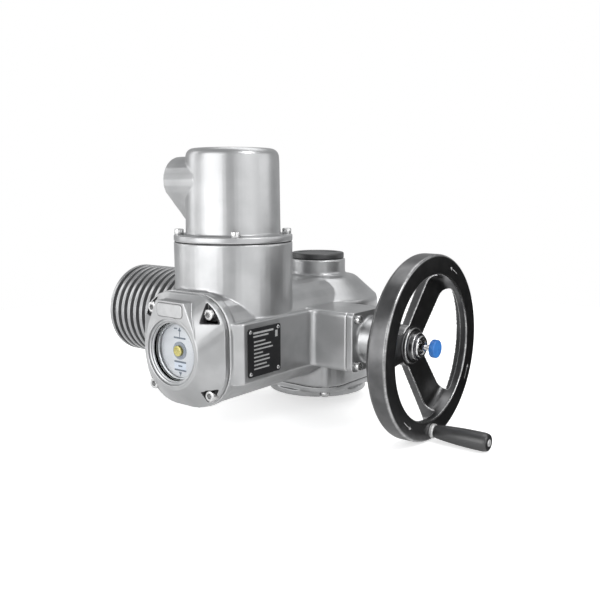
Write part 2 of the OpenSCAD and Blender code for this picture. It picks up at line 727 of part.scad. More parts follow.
// Solid of the cover: straight rim, slanting flanks and the flat face round the window
module cover_body() {
    translate([0, 0, drive_z]) {
        along_y(rim_y, cover_y) polygon(round_box(room_w, room_w, room_top_r, room_low_r));
        hull() {
            along_y(rim_y, rim_y + 0.5) polygon(round_box(room_w - 1, room_w - 1, room_top_r, room_low_r));
            rod_y(front_y, front_y + 1, face_d, $fn = 64);
        }
        along_y(front_y, cover_y - 2)
            polygon([[-20.5, 53.2], [-33.5, 26], [-39.3, 4], [39.3, 4], [33.5, 26], [20.5, 53.2]]);
        translate([-18.5, front_y - 0.6, 37.5]) cube([37, 1.2, 13.5]);
    }
}

// Outlines of the pockets for the cover screws, whose outer walls follow the cover's corners
function upper_pocket(p) = let (c = room_w / 2 - room_top_r, r = room_top_r - 2.5)
    concat([[p - 5.7, p - 8.5]], arc(c, c, r, asin((p - 8.5 - c) / r), acos((p - 5.7 - c) / r)));

function lower_pocket(p) = let (c = room_w / 2 - room_low_r, r = room_low_r - 2.5)
    concat([[p - 8, 3.7 - p]], arc(c, -c, r, -acos((p - 5.8 - c) / r), -asin((p - 8 - c) / r)));

module compartment_cover() {
    p = cover_screw_pitch / 2;
    color(cast_grey) difference() {
        cover_body();
        translate([0, 0, drive_z]) {
            rod_y(front_y - 2, front_y + 9.5, window_d);
            rod_y(front_y, -joint_y + 1, window_d - 7.5);
            difference() {
                union() {
                    along_y(rim_y, -joint_y + 1) polygon(round_box(room_w - 2 * wall, room_w - 2 * wall,
                        room_top_r - wall, room_low_r - wall));
                    rod_y(rim_y - 7, rim_y + 0.5, face_d + 2);
                }
                four_xz(cover_screw_pitch) rod_y(rim_y - 8, -joint_y + 1, 16);
            }
            four_xz(cover_screw_pitch) rod_y(front_y - 1, 1 - joint_y, 6.2);
            for (m = [0, 1]) mirror([m, 0, 0]) {
                along_y(front_y - 1, cover_seat_y) polygon(upper_pocket(p));
                along_y(front_y - 1, cover_seat_y) polygon(lower_pocket(p));
                translate([p, 0, -p]) rod_y(front_y - 1, cover_seat_y, head_m6 + 2.6);
            }
        }
    }
}

// Flat seal between the compartment and its cover, set back from the edge
module cover_seal() {
    w = room_w - 2.4;
    color(rubber) translate([0, 0, drive_z]) difference() {
        along_y(cover_y, -joint_y) polygon(round_box(w, w, room_top_r - 1.2, room_low_r - 1.2));
        difference() {
            along_y(cover_y - 1, 1 - joint_y) polygon(round_box(room_w - 2 * wall, room_w - 2 * wall,
                room_top_r - wall, room_low_r - wall));
            four_xz(cover_screw_pitch) rod_y(cover_y - 2, 2 - joint_y, 16);
        }
        four_xz(cover_screw_pitch) rod_y(cover_y - 1, 1 - joint_y, 6.4);
    }
}

module cover_screws() {
    color(steel) translate([0, cover_seat_y, drive_z]) four_xz(cover_screw_pitch)
        rotate([90, 0, 0]) cap_screw(6, head_m6, 22);
}

// Stepped metal ring that holds the window glass
module window_retaining_ring() {
    r = window_d / 2 - seat_gap;
    color(dark_steel) translate([0, 0, drive_z]) rotate([-90, 0, 0]) rotate_extrude() polygon([
        [r, front_y + 1.5], [r, front_y + 5.5], [r - 4, front_y + 5.5], [r - 4, front_y + 4],
        [r - 2.6, front_y + 3.4], [r - 2.6, front_y + 2.2], [r - 1.2, front_y + 1.5]]);
}

module window_glass() {
    color([0.8, 0.9, 0.95, 0.3]) translate([0, 0, drive_z])
        rod_y(front_y + 5.5, front_y + 9, window_d - 2 * seat_gap - 0.4);
}

module window_seal() {
    color(rubber) translate([0, 0, drive_z])
        ring_y(front_y + 9, front_y + 9.5, window_d - 2 * seat_gap - 0.4, window_d - 7);
}

// Dark funnel between the window and the indicator disc
module dial_bezel() {
    r = window_d / 2 - 3.75 - seat_gap;
    color(dark_steel) translate([0, 0, drive_z]) rotate([-90, 0, 0]) rotate_extrude() polygon([
        [r, front_y + 9.5], [r, front_y + 12.5], [r - 2.6, front_y + 12.5], [r - 2.6, front_y + 11.2],
        [r - 1.2, front_y + 10.6], [r - 1.2, front_y + 9.5]]);
}

// Gear train of the position indicator in its case, on four pillars
module control_unit() {
    plate_y = gearbox_y;
    color(dark_steel) translate([0, 0, drive_z]) difference() {
        union() {
            along_y(plate_y, plate_y + 6) polygon(round_box(84, 88, 18, 18));
            translate([-unit_half, dial_y + 12, -42]) cube([2 * unit_half, plate_y - dial_y - 11.5, 84]);
            four_xz(60) rod_y(plate_y + 5, room_back_y, 10);
        }
        rod_y(dial_y, dial_y + 30, 8 + 2 * run_gap);
        translate([0, 0, pinion_z - drive_z])
            rod_y(plate_y - 1, plate_y + 7, input_shaft_d + 2 * run_gap);
    }
}

// Limit and torque switches on both flanks of the control unit
module switch_blocks() {
    color([0.75, 0.12, 0.1]) translate([0, 0, drive_z])
        for (m = [0, 1], z = [-22, 2]) mirror([m, 0, 0])
            translate([unit_half, gearbox_y - 26, z]) cube([16, 26, 20]);
}

module indicator_disc() {
    color([0.95, 0.95, 0.95]) translate([0, 0, drive_z]) {
        ring_y(dial_y, dial_y + 1.5, dial_d, 8 + 2 * seat_gap);
    }
}

// Grey hub of the indicator disc with the spindle behind it
module indicator_hub() {
    color([0.5, 0.52, 0.55]) translate([0, 0, drive_z]) {
        rod_y(dial_y - 0.8, dial_y, 19);
        rod_y(dial_y - 0.4, dial_y + 26, 8);
        rod_y(dial_y + 1.5, dial_y + 11.5, 14);
    }
}

module brass_knob() {
    color([0.8, 0.68, 0.25]) translate([0, 0, drive_z]) rotate([-90, 0, 0]) rotate_extrude() polygon(concat(
        [[0, dial_y - 4.4], [4.8, dial_y - 4.4]], arc(4.8, dial_y - 3.4, 1, 270, 360, 3),
        [[5.8, dial_y - 0.8], [0, dial_y - 0.8]]));
}

// Socket half of the connector, on the ledge of the bowl
module socket_carrier() {
    color([0.12, 0.12, 0.13]) translate([0, -plug_y, 0]) difference() {
        union() {
            translate([0, 0, ledge_z]) cylinder(h = 7, d = bowl_d - 2 * wall - 1);
            translate([0, 0, ledge_z - 8]) cylinder(h = socket_top_z - ledge_z + 8, d = socket_d);
        }
        for (a = [45:90:315]) rotate([0, 0, a])
            translate([plug_bolt_circle / 2, 0, ledge_z - 1]) cylinder(h = 10, d = 13.6);
    }
}

// Two circles of contact pins between the halves of the connector
module contact_pins() {
    color([0.85, 0.7, 0.35]) translate([0, -plug_y, socket_top_z]) {
        for (a = [0:18:342]) rotate([0, 0, a]) translate([pin_circle_r, 0, 0]) cylinder(h = 11, d = 2.5);
        for (a = [0:60:300]) rotate([0, 0, a]) translate([pin_circle_r - 14, 0, 0]) cylinder(h = 11, d = 4);
    }
}

// Plug half of the connector, in the cover
module plug_insert() {
    color([0.12, 0.12, 0.13]) translate([0, -plug_y, 0]) difference() {
        union() {
            translate([0, 0, socket_top_z + face_gap]) cylinder(h = 36, d = socket_d - 2);
            translate([0, 0, bowl_z + 1]) cylinder(h = 6, d = plug_d - 2 * plug_wall - 1.4);
        }
        for (a = [0:18:342]) rotate([0, 0, a])
            translate([pin_circle_r, 0, socket_top_z]) cylinder(h = 12, d = 2.7);
        for (a = [0:60:300]) rotate([0, 0, a])
            translate([pin_circle_r - 14, 0, socket_top_z]) cylinder(h = 12, d = 4.2);
    }
}

module plug_seal() {
    color(rubber) translate([0, -plug_y, 0]) difference() {
        ring_z(bowl_z, bowl_z + 0.6, bowl_d - 1.6, bowl_d - 2 * wall + 1);
        for (a = [45:90:315]) rotate([0, 0, a])
            translate([plug_bolt_circle / 2, 0, bowl_z - 1]) cylinder(h = 3, d = 6.4);
    }
}

// Drawn cap with a bolted flange and a boss for the cable entries
module plug_cover() {
    z0 = bowl_z + 0.6;
    foot_z = z0 + plug_flange_t;
    top_r = plug_d / 2 - 1.4;
    inner = plug_d / 2 - plug_wall;
    color(cast_grey) translate([0, -plug_y, 0]) difference() {
        union() {
            rotate_extrude() polygon(concat(
                [[0, z0], [bowl_d / 2 - 0.6, z0], [bowl_d / 2, z0 + 0.6]],
                [[bowl_d / 2, foot_z - 0.8], [bowl_d / 2 - 0.8, foot_z]],
                arc(plug_d / 2 + 2, foot_z + 2, 2, 270, 180, 3), [[top_r + 0.4, plug_top_z - 16]],
                arc(top_r - plug_edge_r, plug_top_z - plug_edge_r - 1, plug_edge_r, 0, 78),
                [[20, plug_top_z], [0, plug_top_z]]));
            translate([0, 0, boss_z]) along_x(-boss_x, -10)
                polygon(boss_outline(boss_half, boss_up_r, boss_drop, boss_low_r));
        }
        translate([0, 0, z0 - 1]) cylinder(h = plug_top_z - plug_wall - z0 - 3, r = inner);
        translate([0, 0, boss_z]) along_x(-boss_x + 6, -8)
            polygon(boss_outline(boss_half, boss_up_r - 5, boss_drop, boss_low_r - 5));
        for (a = [45:90:315]) rotate([0, 0, a])
            translate([plug_bolt_circle / 2, 0, z0 - 1]) cylinder(h = plug_flange_t + 4, d = 6.2);
        cable_entries() rod_x(-7, 1, $entry_d);
    }
}

// Places of the three cable entries on the boss, the lower one smaller than the upper two
module cable_entries() {
    translate([-boss_x + 6, 0, boss_z]) {
        for (s = [-1, 1], $entry_d = [25]) translate([0, s * boss_half, 0]) children();
        for ($entry_d = [20]) translate([0, 0, -boss_drop]) children();
    }
}

module plug_cover_screws() {
    z0 = bowl_z + 0.6 + plug_flange_t;
    color(steel) translate([0, -plug_y, z0]) for (a = [45:90:315]) rotate([0, 0, a])
        translate([plug_bolt_circle / 2, 0, 0]) cap_screw(6, head_m6, 18);
}

// Blanking plugs that close the cable entries
module cable_entry_plugs() {
    color(steel) translate([0, -plug_y, 0]) cable_entries() {
        rod_x(-6.5, 0, $entry_d - 2 * seat_gap);
        translate([-9, 0, 0]) rotate([0, 90, 0]) cylinder(h = 3, d = $entry_d + 6, $fn = 6);
    }
}

// Corners where the nameplate's rivets sit, on the flat wall
module nameplate_rivet_places() {
    translate([pad_x, nameplate_y, drive_z]) four_yz(44) children();
}

module nameplate() {
    color(black) difference() {
        translate([0, nameplate_y, drive_z]) along_x(pad_x, pad_x + 1) polygon(round_box(52, 51, 3, 3));
        nameplate_rivet_places() rod_x(-1, 2, 2.6);
    }
}

module nameplate_rivets() {
    color(steel) nameplate_rivet_places() {
        rod_x(-5.5, 1.2, 2.4);
        turn_x([[0, 1], [2.1, 1], [1.6, 1.8], [0, 2.1]]);
    }
}

// Section of the whole handwheel: hub, dished web, outer band and flat front flange
function wheel_section() = let (r = wheel_d / 2, x = wheel_face_x, i = rim_inner_d / 2, h = hub_d / 2,
        rear = wheel_face_x - rim_depth) concat(
    [[0, hub_back_x], [h - 2, hub_back_x], [h + 1.5, web_hub_x - web_t], [r - 12, rear - 8]],
    [[r - 4.5, rear - 2.6], [r - 3, rear - 1.4], [r, rear + 1.5]], arc(r - 3, x - 3, 3, 0, 90, 5),
    [[i + 1.2, x], [i, x - 1.2], [i, x - 7.7], [r - 5.5, x - 7.7], [r - 5.5, x - 17]],
    [[r - 7, x - 19], [r - 11, x - 20.5], [h + 2, web_hub_x]],
    [[h, web_hub_x + 2], [h, hub_front_x - 1], [h - 1, hub_front_x], [h - 3.5, hub_front_x]],
    [[h - 4.5, hub_front_x - 1.6], [0, hub_front_x - 1.6]]);

// Outline of the opening between two spokes, with rounded corners
function spoke_opening() =
    let (outer = wheel_d / 2 - 3.6, inner = hub_d / 2 + 3, big = 10, small = 3,
        far = 60 - asin((spoke_w / 2 + 2 + big) / (outer - big)),
        near = 60 - asin((spoke_w / 2 + small) / (inner + small)))
    concat(arc(0, 0, outer, -far, far),
        arc((outer - big) * cos(far), (outer - big) * sin(far), big, far, 150, 5),
        arc((inner + small) * cos(near), (inner + small) * sin(near), small, 150, 180 + near, 3),
        arc(0, 0, inner, near, -near, 3),
        arc((inner + small) * cos(near), -(inner + small) * sin(near), small, 180 - near, 210, 3),
        arc((outer - big) * cos(far), -(outer - big) * sin(far), big, 210, 360 - far, 5));

module handwheel() {
    color(black) on_drive_axis() difference() {
        turn_x(wheel_section());
        along_x(hub_back_x - 5, wheel_face_x - 9) for (a = [0, 120, 240]) rotate(a) polygon(spoke_opening());
        rod_x(hub_back_x - 1, hub_front_x + 1, hand_shaft_d + 2 * seat_gap);
        translate([0, 0, -crank_r]) rod_x(wheel_face_x - 8.5, wheel_face_x + 1, 8 + 2 * seat_gap);
    }
}

// Hollow shaft with room for the push rod and its return spring
module handwheel_shaft() {
    r = hand_shaft_d / 2;
    color(steel) on_drive_axis() turn_x([
        [3 + run_gap, hand_shaft_x + 12], [r, hand_shaft_x + 12], [r, hub_front_x - 1.6],
        [r - 1, hub_front_x - 1.6], [r - 1, hub_front_x - 0.3], [r, hub_front_x - 0.3],
        [r, shaft_end_x - 0.8], [r - 0.8, shaft_end_x], [r - 3.2, shaft_end_x],
        [r - 4.2, shaft_end_x - 1], [r - 4.4, shaft_end_x - 12], [3 + run_gap, shaft_end_x - 12]]);
}

// Open retaining ring in the shaft's groove, with two eyes at its lower end
module handwheel_circlip() {
    inner_r = hand_shaft_d / 2 - 1 + seat_gap;
    color(dark_steel) on_drive_axis() along_x(hub_front_x - 1.5, hub_front_x - 0.4) difference() {
        union() {
            circle(r = inner_r + 2.6);
            for (s = [-1, 1]) translate([s * 3.1, -inner_r - 1.7]) circle(r = 1.9, $fn = 32);
        }
        circle(r = inner_r);
        polygon([[-1.1, -inner_r - 6], [1.1, -inner_r - 6], [1.1, 0], [-1.1, 0]]);
        for (s = [-1, 1]) translate([s * 3.1, -inner_r - 1.7]) circle(r = 0.8, $fn = 24);
    }
}

// Bolt of the crank handle with the bright collar under the grip
module crank_spindle() {
    end_x = grip_x + grip_len;
    color(steel) translate([0, worm_y, crank_z]) {
        turn_x([[0, wheel_face_x - 7.7], [4, wheel_face_x - 7.7], [4, wheel_face_x], [7, wheel_face_x],
            [7, grip_x - face_gap], [4, grip_x - face_gap], [4, end_x - 0.5],
            [3.4, end_x + 0.3], [0, end_x + 0.3]]);
    }
}

// Revolving grip of the crank handle
module crank_grip() {
    r = grip_d / 2;
    x1 = grip_x + grip_len;
    color(black) translate([0, worm_y, crank_z]) turn_x(concat(
        [[4 + run_gap, grip_x], [7, grip_x], [7.6, grip_x + 1]],
        [for (t = [0.15:0.15:0.75]) [7.6 + (r - 7.6) * sin(t * 115), grip_x + 1 + t * (grip_len - 1)]],
        arc(r - 3.5, x1 - 3.5, 3.5, 0, 78, 5), [[4.6, x1], [4 + run_gap, x1 - 0.6]]));
}

module push_rod() {
    color(steel) on_drive_axis() {
        rod_x(hand_shaft_x - 3, button_x - 3, 6);
        rod_x(hand_shaft_x - 3, hand_shaft_x + 3, 16);
    }
}

module push_button() {
    r = button_d / 2;
    color([0.2, 0.45, 0.78]) on_drive_axis() turn_x(concat(
        [[3 + seat_gap, button_x - button_t], [r - 1, button_x - button_t], [r, button_x - button_t + 1]],
        arc(r - 1.2, button_x - 1.4, 1.2, 0, 80, 3),
        [[0, button_x], [0, button_x - 2.9], [3 + seat_gap, button_x - 2.9]]));
}

main_housing();
bearing_flange();
bearing_flange_screws();
stem_cap();
stem_cap_seal();
lower_bearing();
upper_bearing();
output_seal();
motor_housing();
motor_end_cap();
motor_stator();
motor_windings();
motor_flange_screws();
motor_end_screws();
motor_front_bearing();
motor_rear_bearing();
worm_bearing_motor_side();
worm_bearing_wheel_side();
disc_spring_pack();
handwheel_flange();
handwheel_flange_screws();
handwheel_shaft_seal();
compartment_cover();
cover_seal();
cover_screws();
window_retaining_ring();
window_glass();
window_seal();
dial_bezel();
control_unit();
switch_blocks();
socket_carrier();
contact_pins();
plug_insert();
plug_seal();
plug_cover();
plug_cover_screws();
cable_entry_plugs();
nameplate();
nameplate_rivets();
drive_sleeve();
worm_wheel();
crown_gear();
worm_shaft();
motor_shaft();
rotor();
indicator_drive_shaft();
indicator_disc();
indicator_hub();
brass_knob();
handwheel();
handwheel_shaft();
handwheel_circlip();
crank_spindle();
crank_grip();
push_rod();
push_button();
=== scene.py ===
import math

import bmesh
import bpy
from mathutils import Matrix, Vector


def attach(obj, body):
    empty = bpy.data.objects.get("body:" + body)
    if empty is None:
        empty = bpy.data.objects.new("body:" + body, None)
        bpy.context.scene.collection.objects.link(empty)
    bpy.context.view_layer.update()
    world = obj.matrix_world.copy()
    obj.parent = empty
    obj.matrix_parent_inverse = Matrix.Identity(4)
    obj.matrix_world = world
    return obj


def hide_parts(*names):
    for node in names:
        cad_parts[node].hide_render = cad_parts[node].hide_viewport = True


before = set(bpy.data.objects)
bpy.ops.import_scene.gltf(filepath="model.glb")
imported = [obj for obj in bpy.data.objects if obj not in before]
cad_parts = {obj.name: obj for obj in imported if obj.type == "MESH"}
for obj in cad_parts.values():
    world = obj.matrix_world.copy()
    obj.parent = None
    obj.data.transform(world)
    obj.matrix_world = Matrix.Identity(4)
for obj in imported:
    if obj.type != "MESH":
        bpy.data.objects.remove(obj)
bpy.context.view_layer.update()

mm = 0.001
driveY = -0.070          # common axis of motor, worm and handwheel
driveZ = 0.0866
driveAxis = (0, driveY, driveZ)
print("frame loaded")


def addToScene(obj):
    bpy.context.scene.collection.objects.link(obj)
    return obj


# camera

view = {
    "place": (0.57003, -0.77122, 0.25663),
    "down": 8.63,            # degrees below the horizon
    "turn": 37.83,
    "lens": 45.05,
    "sensor": 36.0,
    "nearest": 0.01,
}


def makeCamera():
    data = bpy.data.cameras.new("studioCamera")
    data.lens = view["lens"]
    data.sensor_width = view["sensor"]
    data.clip_start = view["nearest"]
    camera = addToScene(bpy.data.objects.new("studioCamera", data))
    camera.location = view["place"]
    camera.rotation_euler = (math.radians(90 - view["down"]), 0, math.radians(view["turn"]))
    bpy.context.scene.camera = camera


makeCamera()
bpy.context.scene.view_settings.view_transform = "Standard"


# small tools for node trees

def addNode(tree, kind, **settings):
    node = tree.nodes.new(kind)
    for key, value in settings.items():
        setattr(node, key, value)
    return node


# a number or a colour is set on the socket, anything else is linked to it
def feed(tree, value, socket):
    if isinstance(value, tuple):
        socket.default_value = (*value, 1.0)
    elif isinstance(value, (int, float)):
        socket.default_value = value
    else:
        tree.links.new(value, socket)


def feedAll(tree, node, values):
    for name, value in values.items():
        feed(tree, value, node.inputs[name])


def newGroup(name, inputs, outputs):
    group = bpy.data.node_groups.new(name, "ShaderNodeTree")
    for label, value in inputs.items():
        socket = group.interface.new_socket(label, in_out="INPUT", socket_type="NodeSocketFloat")
        socket.default_value = value
    for label in outputs:
        group.interface.new_socket(label, in_out="OUTPUT", socket_type="NodeSocketFloat")
    start = group.nodes.new("NodeGroupInput")
    end = group.nodes.new("NodeGroupOutput")
    return group, start, end


def objectPoint(tree):
    return addNode(tree, "ShaderNodeTexCoord").outputs["Object"]


def noise(tree, point, scale, detail=3.0, roughness=0.5):
    node = addNode(tree, "ShaderNodeTexNoise")
    feedAll(tree, node, {"Vector": point, "Scale": scale, "Detail": detail,
                         "Roughness": roughness})
    return node.outputs["Fac"]


def mapRange(tree, value, low, high, toLow=0.0, toHigh=1.0):
    node = addNode(tree, "ShaderNodeMapRange", interpolation_type="SMOOTHSTEP")
    feedAll(tree, node, {"Value": value, "From Min": low, "From Max": high,
                         "To Min": toLow, "To Max": toHigh})
    return node.outputs["Result"]


def calc(tree, operation, a, b):
    node = addNode(tree, "ShaderNodeMath", operation=operation)
    feed(tree, a, node.inputs[0])
    feed(tree, b, node.inputs[1])
    return node.outputs[0]


# places of the first, second and mixed value on the Mix node
mixSockets = {"FLOAT": (2, 3, 0), "RGBA": (6, 7, 2)}


def mix(tree, kind, mask, first, second):
    node = addNode(tree, "ShaderNodeMix", data_type=kind)
    a, b, result = mixSockets[kind]
    tree.links.new(mask, node.inputs["Factor"])
    feed(tree, first, node.inputs[a])
    feed(tree, second, node.inputs[b])
    return node.outputs[result]


# skin of a coated casting: fine grain with wider unevenness
def buildCastSkin():
    group, start, end = newGroup("castSkin", {"Grain Scale": 900.0, "Wave Scale": 45.0},
                                 ["Height", "Cloud"])
    point = objectPoint(group)
    grain = noise(group, point, start.outputs["Grain Scale"], detail=2.0, roughness=0.6)
    wave = noise(group, point, start.outputs["Wave Scale"], detail=3.0, roughness=0.45)
    fine = calc(group, "MULTIPLY", grain, 0.35)
    wide = calc(group, "MULTIPLY", wave, 0.65)
    group.links.new(calc(group, "ADD", fine, wide), end.inputs["Height"])
    group.links.new(mapRange(group, wave, 0.3, 0.7), end.inputs["Cloud"])
    return group


# worn and polished edges, and on the handwheel's black coat painted highlight lines along the
# edges
def buildEdgeWearAndGlint():
    group, start, end = newGroup("edgeWearAndGlint", {"Start": 0.52, "Full": 0.60, "Break Up": 0.5},
                                 ["Mask"])
    sharp = addNode(group, "ShaderNodeNewGeometry").outputs["Pointiness"]
    edge = mapRange(group, sharp, start.outputs["Start"], start.outputs["Full"])
    spots = noise(group, objectPoint(group), 160.0, detail=4.0, roughness=0.6)
    patches = mapRange(group, spots, 0.35, 0.65)
    broken = calc(group, "MULTIPLY", patches, start.outputs["Break Up"])
    kept = calc(group, "SUBTRACT", 1.0, start.outputs["Break Up"])
    mask = calc(group, "MULTIPLY", edge, calc(group, "ADD", kept, broken))
    group.links.new(mask, end.inputs["Mask"])
    return group


# fine rings that a lathe leaves, across the stated axis
def buildTurnedLines():
    inputs = {"Across X": 1.0, "Across Y": 1.0, "Across Z": 1.0, "Pitch": 700.0}
    group, start, end = newGroup("turnedLines", inputs, ["Height", "Streak"])
    stretch = addNode(group, "ShaderNodeCombineXYZ")
    for axis in "XYZ":
        group.links.new(start.outputs["Across " + axis], stretch.inputs[axis])
    product = addNode(group, "ShaderNodeVectorMath", operation="MULTIPLY")
    group.links.new(objectPoint(group), product.inputs[0])
    group.links.new(stretch.outputs[0], product.inputs[1])
    lines = noise(group, product.outputs[0], start.outputs["Pitch"], detail=2.0, roughness=0.7)
    group.links.new(lines, end.inputs["Height"])
    group.links.new(mapRange(group, lines, 0.35, 0.65), end.inputs["Streak"])
    return group


# specks of dust and handling marks
def buildHandling():
    group, start, end = newGroup("handlingMarks", {"Scale": 60.0, "Amount": 0.5}, ["Mask"])
    smear = noise(group, objectPoint(group), start.outputs["Scale"], detail=5.0, roughness=0.7)
    marks = mapRange(group, smear, 0.5, 0.72)
    group.links.new(calc(group, "MULTIPLY", marks, start.outputs["Amount"]), end.inputs["Mask"])
    return group


groups = {
    "castSkin": buildCastSkin(),
    "edgeWearAndGlint": buildEdgeWearAndGlint(),
    "turnedLines": buildTurnedLines(),
    "handlingMarks": buildHandling(),
}


def useGroup(tree, name, values):
    node = addNode(tree, "ShaderNodeGroup", node_tree=groups[name])
    feedAll(tree, node, values)
    return node


def newMaterial(name):
    material = bpy.data.materials.new(name)
    material.use_nodes = True
    tree = material.node_tree
    return material, tree, tree.nodes["Principled BSDF"]


def addBump(tree, shader, height, strength, depth):
    bump = addNode(tree, "ShaderNodeBump")
    feedAll(tree, bump, {"Strength": strength, "Distance": depth, "Height": height})
    tree.links.new(bump.outputs["Normal"], shader.inputs["Normal"])


def grey(level):
    return (level, level, level)


# coatings, plastics and prints: grain and wave are noise scales; the edge colour is that of worn
# edges, and on the black coat of painted highlight lines along the edges; the pair of edge values
# says how sharp an edge is where this colour starts and is full
skinBase = dict(metallic=0.0, gloss=0.5, roughSpread=0.1, coat=0.0, coatRough=0.2, marks=0.6,
                bumpDepth=0.0004)
finishes = {
    "castSilver": dict(
        colour=(0.44, 0.443, 0.447), dark=(0.375, 0.378, 0.382), rub=grey(0.68), metallic=0.85,
        rough=0.33, roughSpread=0.07, rubRough=0.26, grain=1100.0, wave=38.0, bump=0.12,
        rubAt=(0.515, 0.56)),
    # painted shade: the dark skin of the cover's screw pockets, the screws' sockets and the frame
    # round the raised plate
    "paintedPocketShade": dict(
        colour=(0.085, 0.085, 0.087), dark=(0.05, 0.05, 0.052), rub=grey(0.20), metallic=0.6,
        rough=0.5, rubRough=0.4, grain=1100.0, wave=60.0, bump=0.15, rubAt=(0.53, 0.6)),
    "motorSilver": dict(
        colour=(0.42, 0.422, 0.426), dark=(0.34, 0.342, 0.345), rub=grey(0.75), metallic=0.85,
        rough=0.28, rubRough=0.2, grain=900.0, wave=60.0, bump=0.10, rubAt=(0.53, 0.6)),
    # its light edge colour, set to start at gentle edges, is mostly painted highlight lines along
    # rim, spokes and hub ring, partly wear
    "blackCoat": dict(
        colour=(0.13, 0.13, 0.132), dark=(0.10, 0.10, 0.102), rub=grey(0.75), metallic=1.0,
        rough=0.30, roughSpread=0.08, rubRough=0.25, grain=1300.0, wave=70.0, bump=0.05,
        rubAt=(0.506, 0.53)),
    "plateBlack": dict(
        colour=(0.004, 0.004, 0.005), dark=(0.003, 0.003, 0.004), rub=grey(0.03),
        rough=0.38, roughSpread=0.08, rubRough=0.35, grain=2200.0, wave=90.0, bump=0.04,
        rubAt=(0.6, 0.8)),
    "blackPlastic": dict(
        colour=(0.017, 0.017, 0.018), dark=(0.012, 0.012, 0.013), rub=(0.05, 0.05, 0.052),
        gloss=1.0, rough=0.40, rubRough=0.32, grain=2200.0, wave=90.0, bump=0.12,
        rubAt=(0.55, 0.68)),
    "zincPlate": dict(
        colour=(0.80, 0.80, 0.79), dark=grey(0.66), rub=grey(0.88), metallic=0.5,
        rough=0.32, rubRough=0.25, grain=2400.0, wave=140.0, bump=0.05, rubAt=(0.55, 0.68)),
    "rubberSeal": dict(
        colour=grey(0.018), dark=grey(0.01), rub=grey(0.03),
        rough=0.7, roughSpread=0.15, rubRough=0.6, grain=1500.0, wave=80.0, bump=0.2,
        rubAt=(0.6, 0.8)),
    "bluePlastic": dict(
        colour=(0.03, 0.19, 0.56), dark=(0.025, 0.15, 0.48), rub=(0.08, 0.25, 0.6), coat=0.1,
        rough=0.38, rubRough=0.35, grain=1800.0, wave=120.0, bump=0.08, rubAt=(0.55, 0.7)),
    "switchRed": dict(
        colour=(0.42, 0.03, 0.025), dark=(0.34, 0.02, 0.02), rub=(0.5, 0.06, 0.05),
        rough=0.45, rubRough=0.4, grain=1500.0, wave=90.0, bump=0.1, rubAt=(0.55, 0.7)),
    "dialWhite": dict(
        colour=(0.55, 0.555, 0.575), dark=(0.48, 0.485, 0.51), rub=(0.60, 0.61, 0.63),
        rough=0.4, roughSpread=0.08, rubRough=0.4, grain=2400.0, wave=60.0, bump=0.03,
        rubAt=(0.6, 0.8)),
    "hubGrey": dict(
        colour=(0.24, 0.26, 0.31), dark=(0.19, 0.21, 0.25), rub=(0.35, 0.37, 0.42),
        rough=0.45, rubRough=0.4, grain=1800.0, wave=90.0, bump=0.08, rubAt=(0.55, 0.7)),
    "inkGrey": dict(
        colour=(0.11, 0.13, 0.17), dark=(0.08, 0.1, 0.13), rub=(0.15, 0.17, 0.2),
        rough=0.5, rubRough=0.5, grain=2600.0, wave=200.0, bump=0.02, rubAt=(0.6, 0.8)),
    "inkPale": dict(
        colour=(0.52, 0.56, 0.63), dark=(0.46, 0.5, 0.57), rub=(0.6, 0.63, 0.7),
        rough=0.5, rubRough=0.5, grain=2600.0, wave=200.0, bump=0.02, rubAt=(0.6, 0.8)),
    "labelGrey": dict(
        colour=grey(0.5), dark=grey(0.38), rub=grey(0.6), metallic=0.4,
        rough=0.4, rubRough=0.4, grain=2600.0, wave=300.0, bump=0.02, rubAt=(0.6, 0.8)),
    "windingCopper": dict(
        colour=(0.42, 0.16, 0.05), dark=(0.3, 0.1, 0.03), rub=(0.5, 0.22, 0.08), metallic=0.3,
        rough=0.35, roughSpread=0.15, rubRough=0.3, grain=700.0, wave=140.0, bump=0.4,
        rubAt=(0.55, 0.7), coat=0.4),
}


def skinMaterial(name):
    spec = {**skinBase, **finishes[name]}
    material, tree, shader = newMaterial(name)
    skin = useGroup(tree, "castSkin", {"Grain Scale": spec["grain"], "Wave Scale": spec["wave"]})
    # edge colour mask: wear, and on the black coat painted highlight lines
    rub = useGroup(tree, "edgeWearAndGlint", {"Start": spec["rubAt"][0], "Full": spec["rubAt"][1]})
    marks = useGroup(tree, "handlingMarks", {"Amount": spec["marks"]})
    coated = mix(tree, "RGBA", skin.outputs["Cloud"], spec["colour"], spec["dark"])
    uneven = mapRange(tree, marks.outputs["Mask"], 0.0, 1.0,
                      spec["rough"], spec["rough"] + spec["roughSpread"])
    feedAll(tree, shader, {
        "Base Color": mix(tree, "RGBA", rub.outputs["Mask"], coated, spec["rub"]),
        "Roughness": mix(tree, "FLOAT", rub.outputs["Mask"], uneven, spec["rubRough"]),
        "Metallic": spec["metallic"],
        "Specular IOR Level": spec["gloss"],
        "Coat Weight": spec["coat"],
        "Coat Roughness": spec["coatRough"],
    })
    addBump(tree, shader, skin.outputs["Height"], spec["bump"], spec["bumpDepth"])
    return material


